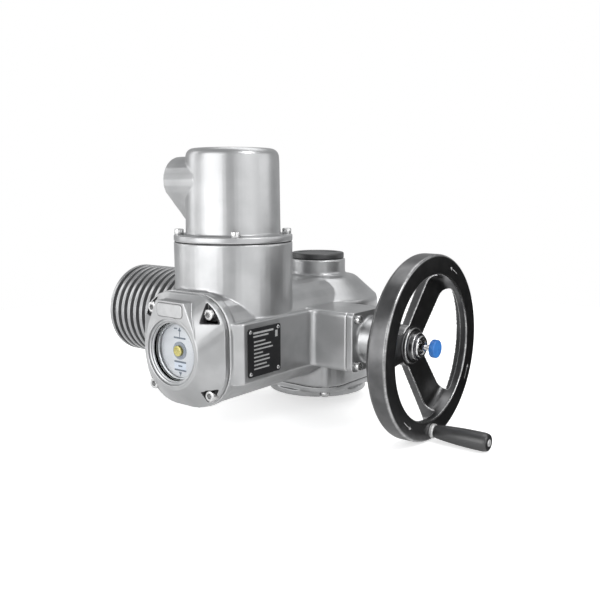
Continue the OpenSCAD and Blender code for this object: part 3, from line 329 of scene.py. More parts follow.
# machined metal: across says along which axis the tool marks follow each other
marksAcross = {"X": (1.0, 0.05, 0.05), "Y": (0.05, 1.0, 0.05), "Z": (0.05, 0.05, 1.0),
               "all": (1.0, 1.0, 1.0)}
turnedBase = dict(marksScale=120.0, roughSpread=0.15, bump=0.1, bumpDepth=0.0002)
plainSteel = dict(colour=(0.60, 0.60, 0.61), dark=(0.42, 0.42, 0.43), rough=0.22)
turned = {
    "steelAlongX": dict(plainSteel, across="X"),
    "steelAlongY": dict(plainSteel, across="Y"),
    "steelAlongZ": dict(plainSteel, across="Z"),
    "brightSteel": dict(colour=grey(0.82), dark=grey(0.70), rough=0.16, across="X"),
    "screwSteel": dict(colour=grey(0.66), dark=grey(0.50), rough=0.26, across="all"),
    "darkSteel": dict(colour=(0.16, 0.16, 0.17), dark=(0.10, 0.10, 0.11), rough=0.32,
                      across="all"),
    "anodised": dict(colour=(0.46, 0.465, 0.47), dark=(0.30, 0.305, 0.31), rough=0.36,
                     across="Y"),
    "bronzeTurned": dict(colour=(0.55, 0.36, 0.13), dark=(0.42, 0.26, 0.09), rough=0.25,
                         across="Z"),
    "brassTurned": dict(colour=(0.56, 0.49, 0.19), dark=(0.42, 0.36, 0.12), rough=0.24,
                        across="Y"),
}


def turnedMaterial(name):
    spec = {**turnedBase, **turned[name]}
    material, tree, shader = newMaterial(name)
    across = zip(("Across X", "Across Y", "Across Z"), marksAcross[spec["across"]])
    lines = useGroup(tree, "turnedLines", dict(across))
    marks = useGroup(tree, "handlingMarks", {"Scale": spec["marksScale"]})
    feedAll(tree, shader, {
        "Base Color": mix(tree, "RGBA", lines.outputs["Streak"], spec["colour"], spec["dark"]),
        "Roughness": mapRange(tree, marks.outputs["Mask"], 0.0, 1.0,
                              spec["rough"], spec["rough"] + spec["roughSpread"]),
        "Metallic": 1.0,
    })
    addBump(tree, shader, lines.outputs["Height"], spec["bump"], spec["bumpDepth"])
    return material


glass = {"colour": (0.97, 0.985, 0.99), "ior": 1.1, "marksScale": 90.0, "marks": 0.5,
         "roughest": 0.05}


def glassMaterial():
    material, tree, shader = newMaterial("windowGlass")
    marks = useGroup(tree, "handlingMarks", {"Scale": glass["marksScale"],
                                             "Amount": glass["marks"]})
    feedAll(tree, shader, {
        "Roughness": mapRange(tree, marks.outputs["Mask"], 0.0, 1.0, 0.0, glass["roughest"]),
        "Base Color": glass["colour"],
        "Transmission Weight": 1.0,
        "IOR": glass["ior"],
    })
    return material


materials = {name: skinMaterial(name) for name in finishes}
materials.update({name: turnedMaterial(name) for name in turned})
materials["windowGlass"] = glassMaterial()
print("materials built")


# small tools for meshes

def newObject(name, mesh, material, body, replaced=()):
    obj = addToScene(bpy.data.objects.new(name, mesh))
    mesh.materials.clear()
    mesh.materials.append(materials[material])
    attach(obj, body)
    if replaced:
        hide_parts(*replaced)
    return obj


# ends a bmesh; with a crease angle its faces are smooth, and edges past the angle stay sharp
def endMesh(work, name, crease=None):
    bmesh.ops.recalc_face_normals(work, faces=work.faces)
    if crease is not None:
        for face in work.faces:
            face.smooth = True
        for edge in work.edges:
            if len(edge.link_faces) == 2 and edge.calc_face_angle(0) > math.radians(crease):
                edge.smooth = False
    mesh = bpy.data.meshes.new(name)
    work.to_mesh(mesh)
    work.free()
    return mesh


# a band of faces between two rings of points, either of which may be a single point
def bridge(work, first, second):
    if len(first) == len(second) == 1:
        return
    count = max(len(first), len(second))
    for k in range(count):
        n = (k + 1) % count
        if len(first) == 1:
            work.faces.new((first[0], second[k], second[n]))
        elif len(second) == 1:
            work.faces.new((first[k], second[0], first[n]))
        else:
            work.faces.new((first[k], second[k], second[n], first[n]))


def addWalls(work, low, high):
    for k in range(len(low)):
        n = (k + 1) % len(low)
        work.faces.new((low[k], low[n], high[n], high[k]))


# a raw solid with its edges and corners rounded as a mould leaves them
def softened(raw, name, voxel, rounds, keep):
    remesh = raw.modifiers.new("remesh", "REMESH")
    remesh.mode = "VOXEL"
    remesh.voxel_size = voxel
    remesh.use_smooth_shade = True
    smooth = raw.modifiers.new("smooth", "SMOOTH")
    smooth.factor = 0.5
    smooth.iterations = rounds
    raw.modifiers.new("fewer", "DECIMATE").ratio = keep
    graph = bpy.context.evaluated_depsgraph_get()
    mesh = bpy.data.meshes.new_from_object(raw.evaluated_get(graph))
    mesh.name = name
    bpy.data.objects.remove(raw)
    mesh.polygons.foreach_set("use_smooth", [True] * len(mesh.polygons))
    print("cast", name, len(mesh.polygons), "faces")
    return mesh


# profile corners given as (radius, along, rounding), the rounding left out where it is sharp
def roundedProfile(corners, steps=4):
    out = []
    for i, corner in enumerate(corners):
        here = Vector(corner[:2])
        size = corner[2] if len(corner) > 2 else 0.0
        if size <= 0 or i in (0, len(corners) - 1):
            out.append(tuple(here))
            continue
        back = Vector(corners[i - 1][:2]) - here
        on = Vector(corners[i + 1][:2]) - here
        reach = min(size, back.length * 0.49, on.length * 0.49)
        a = here + back.normalized() * reach
        b = here + on.normalized() * reach
        for k in range(steps + 1):
            t = k / steps
            out.append(tuple(a * (1 - t) ** 2 + here * 2 * t * (1 - t) + b * t ** 2))
    return out


def arcPoints(u, v, radius, start, stop, steps):
    angles = [math.radians(start + (stop - start) * k / steps) for k in range(steps + 1)]
    return [(u + radius * math.cos(a), v + radius * math.sin(a)) for a in angles]


axisFrames = {
    "X": Matrix(((0, 0, 1), (1, 0, 0), (0, 1, 0))),
    "Y": Matrix(((0, 1, 0), (0, 0, 1), (1, 0, 0))),
    "Z": Matrix(((1, 0, 0), (0, 1, 0), (0, 0, 1))),
}
latheCrease = 32


# turns a profile in mm round an axis; the profile runs (radius, along)
def lathe(name, profile, axis, centre, segments):
    work = bmesh.new()
    frameOfAxis = axisFrames[axis]
    rings = []
    for radius, along in profile:
        count = 1 if radius < 1e-6 else segments
        ring = []
        for k in range(count):
            angle = 2 * math.pi * k / segments
            reach = 0 if count == 1 else radius * mm
            point = Vector((reach * math.cos(angle), reach * math.sin(angle), along * mm))
            ring.append(work.verts.new(frameOfAxis @ point + Vector(centre)))
        rings.append(ring)
    for first, second in zip(rings, rings[1:]):
        bridge(work, first, second)
    return endMesh(work, name, latheCrease)


# directions across and up on a face, by the way that the face looks
faceAxes = {
    "-Y": (Vector((1, 0, 0)), Vector((0, 0, 1))),
    "+X": (Vector((0, 1, 0)), Vector((0, 0, 1))),
    "+Z": (Vector((1, 0, 0)), Vector((0, 1, 0))),
}


# thin printed shapes: outlines in mm, raised by some metres from the face they lie on
def printMesh(name, outlines, place, facing, rise):
    work = bmesh.new()
    across, up = faceAxes[facing]
    lift = across.cross(up) * rise
    for outline in outlines:
        flat = [place + across * u * mm + up * v * mm for u, v in outline]
        low = [work.verts.new(point) for point in flat]
        high = [work.verts.new(point + lift) for point in flat]
        work.faces.new(high)
        work.faces.new(list(reversed(low)))
        addWalls(work, low, high)
    return endMesh(work, name)


def bar(u0, v0, u1, v1):
    return [(u0, v0), (u1, v0), (u1, v1), (u0, v1)]


# outline in mm of a rectangle with round corners
def boxOutline(width, height, corner, steps=10):
    u, v = width / 2 - corner, height / 2 - corner
    points = []
    for i, (cu, cv) in enumerate(((u, v), (-u, v), (-u, -v), (u, -v))):
        points += arcPoints(cu, cv, corner, 90 * i, 90 * i + 90, steps)
    return points


# plate with bevelled edges: each layer is the outline drawn in by some mm, at a height in mm
def layeredPlate(name, outline, layers, place, facing):
    work = bmesh.new()
    across, up = faceAxes[facing]
    normal = across.cross(up)
    count = len(outline)
    rings = []
    for inset, height in layers:
        ring = []
        for k in range(count):
            here = Vector(outline[k])
            ahead = (Vector(outline[(k + 1) % count]) - here).normalized()
            behind = (here - Vector(outline[k - 1])).normalized()
            side = (ahead + behind).normalized()
            point = here + Vector((-side.y, side.x)) * inset
            spot = place + across * point.x * mm + up * point.y * mm + normal * height * mm
            ring.append(work.verts.new(spot))
        rings.append(ring)
    for low, high in zip(rings, rings[1:]):
        addWalls(work, low, high)
    work.faces.new(rings[-1])
    work.faces.new(list(reversed(rings[0])))
    return endMesh(work, name)


# castings

castKeep = 0.25          # share of the remeshed faces that stays
castings = [
    # CAD node, piece, voxel size, smoothing rounds
    ("main_housing", "gearHousing", 0.0011, 5),
    ("compartment_cover", "windowCover", 0.0006, 4),
    ("plug_cover", "connectorCover", 0.0009, 3),
    ("bearing_flange", "valveFlange", 0.0007, 2),
    ("handwheel_flange", "handwheelNeck", 0.0007, 3),
]
for node, name, voxel, rounds in castings:
    raw = addToScene(bpy.data.objects.new("raw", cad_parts[node].data.copy()))
    mesh = softened(raw, name, voxel, rounds, castKeep)
    newObject(name, mesh, "castSilver", "housing", (node,))


# the deep pockets for the cover's screws get a dark, rough skin: painted shade where the pockets
# lie in shadow
pocket = {
    "pitch": 42.0, "boxHalf": 60.0,       # screws and edge of the cover, in mm from its middle
    "topR": 40.0, "lowR": 48.0,           # the cover's corners
    "edgeWall": 2.5,
    "upperCorner": (5.7, 8.5),            # from the screw inwards to the pocket's inner corner
    "lowerCorner": (8.0, 3.7),
    "lowerEnds": (5.8, 8.0),              # from the screw inwards to the ends of the lower arc
    "seatR": 6.3,
    "backY": -0.2345,                     # the cover's faces behind this keep their coating
    "margin": 0.45, "wallTilt": 0.6,
}


def pocketOutlines():
    p = pocket["pitch"]
    insetU, insetV = pocket["upperCorner"]
    c, r = pocket["boxHalf"] - pocket["topR"], pocket["topR"] - pocket["edgeWall"]
    low = math.degrees(math.asin((p - insetV - c) / r))
    high = math.degrees(math.acos((p - insetU - c) / r))
    upper = [(p - insetU, p - insetV)] + arcPoints(c, c, r, low, high, 8)
    insetU, insetV = pocket["lowerCorner"]
    endU, endV = pocket["lowerEnds"]
    c, r = pocket["boxHalf"] - pocket["lowR"], pocket["lowR"] - pocket["edgeWall"]
    low = -math.degrees(math.acos((p - endU - c) / r))
    high = -math.degrees(math.asin((p - endV - c) / r))
    lower = [(p - insetU, insetV - p)] + arcPoints(c, -c, r, low, high, 8)
    return upper, lower


# how far a point lies inside a convex outline, in mm; negative outside
def depthInside(u, v, outline):
    sides = list(zip(outline, outline[1:] + outline[:1]))
    area = sum(a[0] * b[1] - b[0] * a[1] for a, b in sides)
    turn = 1.0 if area > 0 else -1.0
    least = math.inf
    for a, b in sides:
        du, dv = b[0] - a[0], b[1] - a[1]
        length = math.hypot(du, dv)
        if length > 1e-6:
            least = min(least, turn * (du * (v - a[1]) - dv * (u - a[0])) / length)
    return least


# paints shade on the faces that lie inside the cover's screw pockets
def darkenPockets():
    obj = bpy.data.objects["windowCover"]
    obj.data.materials.append(materials["paintedPocketShade"])
    pitch, margin = pocket["pitch"], pocket["margin"]
    outlines = pocketOutlines()
    for face in obj.data.polygons:
        u, v = abs(face.center.x) / mm, (face.center.z - driveZ) / mm
        inside = max(depthInside(u, v, outline) for outline in outlines)
        inside = max(inside, pocket["seatR"] - math.hypot(u - pitch, v + pitch))
        wall = abs(face.normal.y) < pocket["wallTilt"] and inside > -margin
        if face.center.y < pocket["backY"] and (wall or inside > margin):
            face.material_index = 1


darkenPockets()
print("castings built")


# handwheel: a turned blank whose spokes run up into the front flange, cut by three openings

handwheel = {
    # rim, in mm; X runs from the back to the front
    "faceX": 205.2, "outerR": 100.0, "innerR": 78.5, "segments": 192,
    # hub: back, front of the spokes, of the ring and of the boss
    "backX": 168.0, "webX": 178.0, "ringX": 182.0, "bossX": 187.6,
    "hubR": 20.0, "bossR": 14.9, "boreR": 12.05, "spokeHalf": 16.0,
    "crankR": 90.0, "crankHoleR": 4.03,
    # openings: reach and corner behind the flange and in it, and where the two cuts meet
    "backReach": 96.4, "backCorner": 10, "frontCorner": 4, "cutX": 195.2, "cutLap": 1,
    "voxel": 0.0007, "rounds": 4, "keep": 0.3,
}


def spokeOpening(outer, corner):
    half = handwheel["spokeHalf"]
    hubCorner = 3
    inner = handwheel["hubR"] + hubCorner
    far = 60 - math.degrees(math.asin((half + 2 + corner) / (outer - corner)))
    near = 60 - math.degrees(math.asin((half + hubCorner) / (inner + hubCorner)))
    u = (outer - corner) * math.cos(math.radians(far))
    v = (outer - corner) * math.sin(math.radians(far))
    side = arcPoints(u, v, corner, far, 150, 8)
    u = (inner + hubCorner) * math.cos(math.radians(near))
    v = (inner + hubCorner) * math.sin(math.radians(near))
    side += arcPoints(u, v, hubCorner, 150, 180 + near, 5)
    rimArc = arcPoints(0, 0, outer, 0, far, 24)[:-1]
    hubArc = arcPoints(0, 0, inner, near, 0, 4)[1:]
    upper = rimArc + side + hubArc
    return upper + [(a, -b) for a, b in reversed(upper[1:-1])]


# prisms along X through outlines given in mm round the drive axis
def cutterAlongX(name, outlines, low, high):
    work = bmesh.new()
    for outline in outlines:
        back, front = [[work.verts.new((x * mm, driveY + u * mm, driveZ + v * mm))
                        for u, v in outline] for x in (low, high)]
        work.faces.new(back)
        work.faces.new(front)
        addWalls(work, back, front)
    return addToScene(bpy.data.objects.new(name, endMesh(work, name)))


def threeTimes(outline):
    out = []
    for angle in (0, 2 * math.pi / 3, 4 * math.pi / 3):
        c, s = math.cos(angle), math.sin(angle)
        out.append([(u * c - v * s, u * s + v * c) for u, v in outline])
    return out


def buildHandwheel():
    h = handwheel
    r, x, i, hub = h["outerR"], h["faceX"], h["innerR"], h["hubR"]
    section = [
        (0, h["backX"]), (hub - 2, h["backX"], 1), (hub + 1.5, h["backX"] + 0.5, 1),
        (r - 12, 176.5, 3), (r - 4.5, 181.9, 1), (r - 3, 183.1, 1), (r, 186, 1.5),
        (r, x, 3.0), (i, x, 2.4), (i - 0.5, x - 19.5, 14), (54, 182.5, 12),
        (hub + 3, h["webX"], 1.5), (hub, h["webX"]), (hub, h["ringX"], 1.8),
        (hub - 3.6, h["ringX"], 0.8), (hub - 4.6, h["ringX"] - 0.8),
        (h["bossR"], h["bossX"], 0.6), (0, h["bossX"]),
    ]
    mesh = lathe("blank", roundedProfile(section, 8), "X", driveAxis, h["segments"])
    blank = addToScene(bpy.data.objects.new("blank", mesh))
    bore = arcPoints(0, 0, h["boreR"], 0, 350, 35)
    crankHole = arcPoints(0, -h["crankR"], h["crankHoleR"], 0, 345, 23)
    backCuts = threeTimes(spokeOpening(h["backReach"], h["backCorner"])) + [bore]
    frontCuts = threeTimes(spokeOpening(i, h["frontCorner"])) + [crankHole]
    cutters = [
        cutterAlongX("backCuts", backCuts, h["backX"] - 8, h["cutX"] + h["cutLap"]),
        cutterAlongX("frontCuts", frontCuts, h["cutX"] - h["cutLap"], x + 3),
    ]
    for cutter in cutters:
        cut = blank.modifiers.new(cutter.name, "BOOLEAN")
        cut.operation = "DIFFERENCE"
        cut.solver = "EXACT"
        cut.object = cutter
    mesh = softened(blank, "handwheelRim", h["voxel"], h["rounds"], h["keep"])
    newObject("handwheelRim", mesh, "blackCoat", "handwheel_body", ("handwheel",))
    for cutter in cutters:
        bpy.data.objects.remove(cutter)


buildHandwheel()
print("handwheel built")


# motor

motor = {
    "front": -104.0, "end": -257.4,          # along X, in mm
    "finR": 60.0, "coreR": 50.5, "boreR": 44.0,
    "pitch": 12.0, "tip": 5.5, "flare": 0.7, "fins": 11,
    "frontPlate": 8, "frontRecess": 12, "frontWall": 22, "recessR": 26, "shaftHoleR": 20,
    "segments": 160,
}


def buildMotor():
    m = motor
    front, wall, recess = m["front"], m["front"] - m["frontWall"], m["front"] - m["frontRecess"]
    fins, core, bore = m["finR"], m["coreR"], m["boreR"]
    outer = [(bore, wall), (m["shaftHoleR"], wall), (m["shaftHoleR"], recess),
             (m["recessR"], recess), (m["recessR"], front), (fins, front, 0.8),
             (fins, front - m["frontPlate"], 0.8), (core, front - m["frontPlate"], 1.2)]
    for i in range(m["fins"], 0, -1):
        x = m["end"] + i * m["pitch"]
        outer += [(core, x + m["tip"] + m["flare"], 1.5), (fins, x + m["tip"], 0.7),
                  (fins, x, 0.7), (core, x - m["flare"], 1.5)]
    last = m["end"] + m["tip"]
    outer += [(core, last), (bore, last), (bore, wall)]
    cap = [(0, m["end"] + 3), (52, m["end"] + 3, 1.0), (54, m["end"], 1.2), (fins, m["end"], 1.6),
           (fins, last, 0.4), (bore - 0.05, last), (bore - 0.05, last + 4), (22, last + 4),
           (22, last + 14), (17, last + 14), (17, last), (0, last)]
    for name, profile, node in (("motorFins", outer, "motor_housing"),
                                ("motorEnd", cap, "motor_end_cap")):
        mesh = lathe(name, roundedProfile(profile), "X", driveAxis, m["segments"])
        newObject(name, mesh, "motorSilver", "housing", (node,))


buildMotor()
print("motor built")


# fasteners: socket-head cap screws with a knurled head, hex socket and shank

screwShape = {
    "sides": 48, "crease": 35, "knurl": 0.975,
    "shankR": 0.6, "hexR": 0.56, "hexDepth": 0.5,     # as shares of the head's radius and height
    # rings of the head: shares of its radius and height, and whether the ring is knurled
    "rings": ((0.6, 0.0, False), (0.97, 0.0, False), (1.0, 0.03, True), (1.0, 0.86, True),
              (0.95, 0.95, False), (0.86, 1.0, False), (0.72, 1.0, False)),
}


def screwMesh(name, spots, direction, headR, headH, shank):
    work = bmesh.new()
    angles = [2 * math.pi * k / screwShape["sides"] for k in range(screwShape["sides"])]
    layers = [([headR * screwShape["shankR"]] * len(angles), -shank)]
    for share, height, knurled in screwShape["rings"]:
        radii = [headR * share * (screwShape["knurl"] if knurled and k % 2 else 1.0)
                 for k in range(len(angles))]
        layers.append((radii, headH * height))
    # the socket's points lie along the hexagon's sides
    third = math.pi / 3
    flat = headR * screwShape["hexR"] * math.cos(third / 2)
    hexagon = [flat / math.cos(a % third - third / 2) for a in angles]
    layers += [(hexagon, headH), (hexagon, headH - screwShape["hexDepth"] * headH)]
    for spot in spots:
        pose = Matrix.Translation(Vector(spot)) @ direction.to_4x4()
        rings = [[work.verts.new(pose @ Vector((r * math.cos(a), r * math.sin(a), height)))
                  for r, a in zip(radii, angles)] for radii, height in layers]
        for first, second in zip(rings, rings[1:]):
            bridge(work, first, second)
        # the socket's walls and floor take the second material, the dark pocket skin: painted
        # shade
        for vert in rings[-1]:
            for face in vert.link_faces:
                face.material_index = 1         # walls and floor of the socket
        work.faces.new(rings[0])
        work.faces.new(list(reversed(rings[-1]))).material_index = 1
    return endMesh(work, name, screwShape["crease"])


alongPlusX = Matrix(((0, 0, 1), (0, 1, 0), (-1, 0, 0)))
alongMinusX = Matrix(((0, 0, -1), (0, 1, 0), (1, 0, 0)))
alongMinusY = Matrix(((1, 0, 0), (0, 0, -1), (0, 1, 0)))
alongPlusZ = Matrix.Identity(3)
alongMinusZ = Matrix(((1, 0, 0), (0, -1, 0), (0, 0, -1)))


def squareSpots(centre, half, axes):
    spots = []
    for s in (-1, 1):
        for t in (-1, 1):
            spot = Vector(centre)
            spot[axes[0]] += s * half
            spot[axes[1]] += t * half
            spots.append(spot)
    return spots


def ringSpots(centre, radius, axes):
    return squareSpots(centre, radius * math.sqrt(0.5), axes)


screwSets = [
    # piece, CAD node, places in mm, direction, head radius, head height, shank
    ("coverScrewSet", "cover_screws", squareSpots((0, -235, 86.6), 42, (0, 2)),
     alongMinusY, 5.9, 7.2, 22),
    ("neckScrewSet", "handwheel_flange_screws", squareSpots((123.5, -70, 86.6), 25.8, (1, 2)),
     alongPlusX, 5, 6, 22),
    ("connectorScrewSet", "plug_cover_screws", ringSpots((0, -157.5, 204.2), 59.5, (0, 1)),
     alongPlusZ, 5, 6, 18),
    ("flangeScrewSet", "bearing_flange_screws", ringSpots((0, 0, 7), 64, (0, 1)),
     alongMinusZ, 5, 6, 16),
    ("motorScrewSet", "motor_flange_screws", ringSpots((-112, -70, 86.6), 55.05, (1, 2)),
     alongMinusX, 4.25, 5, 18),
    ("motorEndScrewSet", "motor_end_screws", ringSpots((-254.4, -70, 86.6), 47.25, (1, 2)),
     alongMinusX, 3.5, 4, 12),
]
for name, node, spots, direction, headR, headH, shank in screwSets:
    places = [spot * mm for spot in spots]
    mesh = screwMesh(name, places, direction, headR * mm, headH * mm, shank * mm)
    screws = newObject(name, mesh, "screwSteel", "housing", (node,))
    # the dark pocket skin paints shade into the hex sockets
    screws.data.materials.append(materials["paintedPocketShade"])
print("fasteners built")


# small turned pieces: profiles in mm as (radius, along, rounding)

crankAxis = (0, driveY, -0.0034)
turnedPieces = {
    "crankPin": dict(
        axis="X", centre=crankAxis, segments=96, steps=5, material="zincPlate",
        body="handwheel_body", slot="steel", replaced=("crank_spindle",),
        profile=[(0, 197.5), (3.98, 197.5), (3.98, 205.25), (7.8, 205.25, 0.6), (7.8, 208.6, 1.0),
                 (7.0, 209.3), (3.98, 209.3), (3.98, 270.6), (3.4, 271.3, 0.3), (0, 271.3)]),
    "crankGrip": dict(
        axis="X", centre=crankAxis, segments=96, steps=8, material="blackPlastic",
        body="crank_handle", slot="black_plastic", replaced=("crank_grip",),
        profile=[(4.05, 209.5), (6.2, 209.5, 0.8), (7.3, 212, 2.0), (8.4, 222, 5), (9.5, 238, 8),
                 (9.9, 254, 8), (9.9, 266, 4), (8.6, 270.6, 2.5), (4.6, 271.0, 0.4),
                 (4.05, 270.4), (4.05, 209.5)]),
    "tubeCap": dict(
        axis="Z", centre=(0, 0, 0), segments=128, steps=6, material="blackPlastic",
        body="housing", slot="black_plastic", replaced=("stem_cap",),
        profile=[(0, 164), (23.9, 164), (23.9, 158), (28.65, 158), (28.65, 167), (33.2, 167, 0.3),
                 (33.2, 173.5, 2.2), (25.2, 173.5, 0.6), (24.2, 172.5, 0.6), (0, 172.5)]),
    "clutchButton": dict(
        axis="X", centre=driveAxis, segments=96, steps=5, material="bluePlastic",
        body="push_button_body", slot="blue_plastic", replaced=("push_button",),
        profile=[(3.05, 203), (8.75, 203, 0.6), (9.75, 204, 0.6), (9.75, 209.5, 1.4), (0, 209.5),
                 (0, 206.6), (3.05, 206.6), (3.05, 203)]),
    "windowCollar": dict(
        axis="Y", centre=(0, 0, driveZ), segments=160, steps=4, material="castSilver",
        body="housing", slot="cast_aluminium", replaced=(),
        profile=[(34.8, -250.0), (34.8, -254.9, 0.3), (35.4, -255.35, 0.2), (36.9, -255.35, 0.3),
                 (37.5, -254.7, 0.2), (37.5, -252), (34.8, -250.0)]),
}


def buildTurned(name):
    piece = turnedPieces[name]
    profile = roundedProfile(piece["profile"], piece["steps"])
    mesh = lathe(name, profile, piece["axis"], piece["centre"], piece["segments"])
    newObject(name, mesh, piece["material"], piece["body"], piece["replaced"])


for name in ("crankPin", "crankGrip", "tubeCap", "clutchButton"):
    buildTurned(name)


# position window: bars and arrows in place of words, in mm round the dial's middle

dial = {
    "place": (0, -0.24102, driveZ),
    "half": 8.8,                                       # half width of the bars
    "bars": ((12.4, 14.2), (-13.2, -11.2), (-22.0, -20.2)),
    "field": (-20.2, -13.2),
    "stalk": bar(-0.5, 14.2, 0.5, 21.0),
    "arrows": ([(-2.4, 20.5), (2.4, 20.5), (0, 25.0)], [(-2.4, -23.0), (0, -27.5), (2.4, -23.0)]),
    "dashes": (bar(-8.2, 22.3, -3.4, 23.6), bar(-3.0, -17.4, 3.0, -15.8)),
    "markRise": 0.00006, "fieldRise": 0.00003,
}


def buildDial():
    place = Vector(dial["place"])
    half = dial["half"]
    dark = [bar(-half, low, half, high) for low, high in dial["bars"]]
    dark += [dial["stalk"], *dial["arrows"], *dial["dashes"]]
    mesh = printMesh("dialMarks", dark, place, "-Y", dial["markRise"])
    newObject("dialMarks", mesh, "inkGrey", "indicator")
    low, high = dial["field"]
    field = [bar(-half, low, half, high)]
    mesh = printMesh("dialField", field, place, "-Y", dial["fieldRise"])
    newObject("dialField", mesh, "inkPale", "indicator")


buildDial()


# crisp details on the castings

coverPlate = {
    "place": (0.0, -0.2549, 0.13085),
    "bedHalf": (0.0197, 0.0079),              # half size of the flat bed under the plate
    "outline": (36.4, 13.4, 3.6),             # width, height and corner, in mm
    "layers": [(0, -0.6), (0, 0.35), (0.15, 0.58), (0.5, 0.7)],
    # a thin dark frame round the plate's foot in the pocket skin: painted shadow line
    "shadeLineOutline": (38.2, 15.2, 4.4),
    "shadeLineLayers": [(0, -0.6), (0, 0.1)],
}


def buildCoverPlate():
    place = Vector(coverPlate["place"])
    halfX, halfZ = coverPlate["bedHalf"]
    for vert in bpy.data.objects["windowCover"].data.vertices:
        inBed = abs(vert.co.x) < halfX and abs(vert.co.z - place.z) < halfZ
        if vert.co.y < place.y and inBed:
            vert.co.y = place.y
    for name, outline, layers, material in (
            ("raisedPlate", coverPlate["outline"], coverPlate["layers"], "castSilver"),
            ("plateShadeLine", coverPlate["shadeLineOutline"], coverPlate["shadeLineLayers"], "paintedPocketShade")):
        mesh = layeredPlate(name, boxOutline(*outline), layers, place, "-Y")
        newObject(name, mesh, material, "housing")


buildCoverPlate()
buildTurned("windowCollar")


# dark shadow lines where two castings meet
jointLines = [
    # piece, side and corner in mm, facing, from and to in mm, centre
    ("flangeJoint", 119.0, 34.6, "+Z", 13.15, 13.95, (0, 0, 0)),
    ("neckJoint", 65.3, 4.5, "+X", 114.7, 115.3, driveAxis),
]
for name, side, corner, facing, low, high, centre in jointLines:
    layers = [(0, low), (0, high)]
    mesh = layeredPlate(name, boxOutline(side, side, corner), layers, Vector(centre), facing)
    newObject(name, mesh, "rubberSeal", "housing")


# nameplate, left without words: plain lines where the real one is printed, in mm

nameplate = {
    "place": (0.069, -0.186, driveZ),
    "headings": (bar(-18, 19.5, 14, 21.5), bar(-18, 16.0, 6, 17.6)),
    "block": bar(17, 12, 21, 19),
    "left": -17, "top": 10.5, "pitch": 4.1, "thick": 1.5,
    "lengths": (18, 27, 30, 14, 24, 25, 20, 24),
    "rise": 0.00003,
}


def buildNameplate():
    lines = list(nameplate["headings"])
    for i, length in enumerate(nameplate["lengths"]):
        v = nameplate["top"] - i * nameplate["pitch"]
        left = nameplate["left"]
        lines.append(bar(left, v, left + length, v + nameplate["thick"]))
    lines.append(nameplate["block"])
    place = Vector(nameplate["place"])
    mesh = printMesh("nameplateLines", lines, place, "+X", nameplate["rise"])
    newObject("nameplateLines", mesh, "labelGrey", "housing")


buildNameplate()


# handwheel rim: three plain direction arrows, in mm and degrees
rimMarks = {
    "place": (0.20515, driveY, driveZ), "radius": 89.3, "width": 0.9, "sweep": 9.0,
    "headHalf": 2, "headSweep": 2.6, "angles": (62.0, -28.0, -128.0), "rise": 0.00012,
}


def polar(radius, angle):
    return (radius * math.cos(angle), radius * math.sin(angle))


def buildRimMarks():
    outlines = []
    r, w, head = rimMarks["radius"], rimMarks["width"] / 2, rimMarks["headHalf"]
    for middle in rimMarks["angles"]:
        angles = [math.radians(middle + rimMarks["sweep"] * (k / 8 - 0.5)) for k in range(9)]
        inner = [polar(r - w, a) for a in angles]
        outer = [polar(r + w, a) for a in reversed(angles)]
        foot = angles[-1]
        tip = foot + math.radians(rimMarks["headSweep"])
        outlines.append(inner + outer)
        outlines.append([polar(r - head, foot), polar(r + head, foot), polar(r, tip)])
    mesh = printMesh("rimArrows", outlines, Vector(rimMarks["place"]), "+X", rimMarks["rise"])
    newObject("rimArrows", mesh, "labelGrey", "handwheel_body")


buildRimMarks()
print("small pieces built")


# finishes for the nodes that keep their CAD shape

nodeFinish = {
    "plateBlack": ["nameplate"],
    "blackPlastic": ["socket_carrier", "plug_insert"],
    "rubberSeal": ["stem_cap_seal", "output_seal", "handwheel_shaft_seal", "cover_seal",
                   "window_seal", "plug_seal"],
    "steelAlongX": ["worm_bearing_motor_side", "worm_bearing_wheel_side", "worm_shaft",
                    "motor_shaft", "motor_front_bearing", "motor_rear_bearing",
                    "cable_entry_plugs"],
    "brightSteel": ["handwheel_shaft", "push_rod"],
    "steelAlongY": ["indicator_drive_shaft"],
    "steelAlongZ": ["lower_bearing", "upper_bearing", "drive_sleeve", "crown_gear"],
    "screwSteel": ["nameplate_rivets"],
    "darkSteel": ["motor_stator", "disc_spring_pack", "rotor", "handwheel_circlip",
                  "control_unit"],
    "anodised": ["window_retaining_ring", "dial_bezel"],
    "bronzeTurned": ["worm_wheel"],
    "brassTurned": ["brass_knob", "contact_pins"],
    "windingCopper": ["motor_windings"],
    "switchRed": ["switch_blocks"],
    "dialWhite": ["indicator_disc"],
    "hubGrey": ["indicator_hub"],
    "windowGlass": ["window_glass"],
}
for finish, nodes in nodeFinish.items():
    for node in nodes:
        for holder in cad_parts[node].material_slots:
            holder.material = materials[finish]
print("CAD nodes finished")


# studio: pale floor, white backdrop and soft lamps

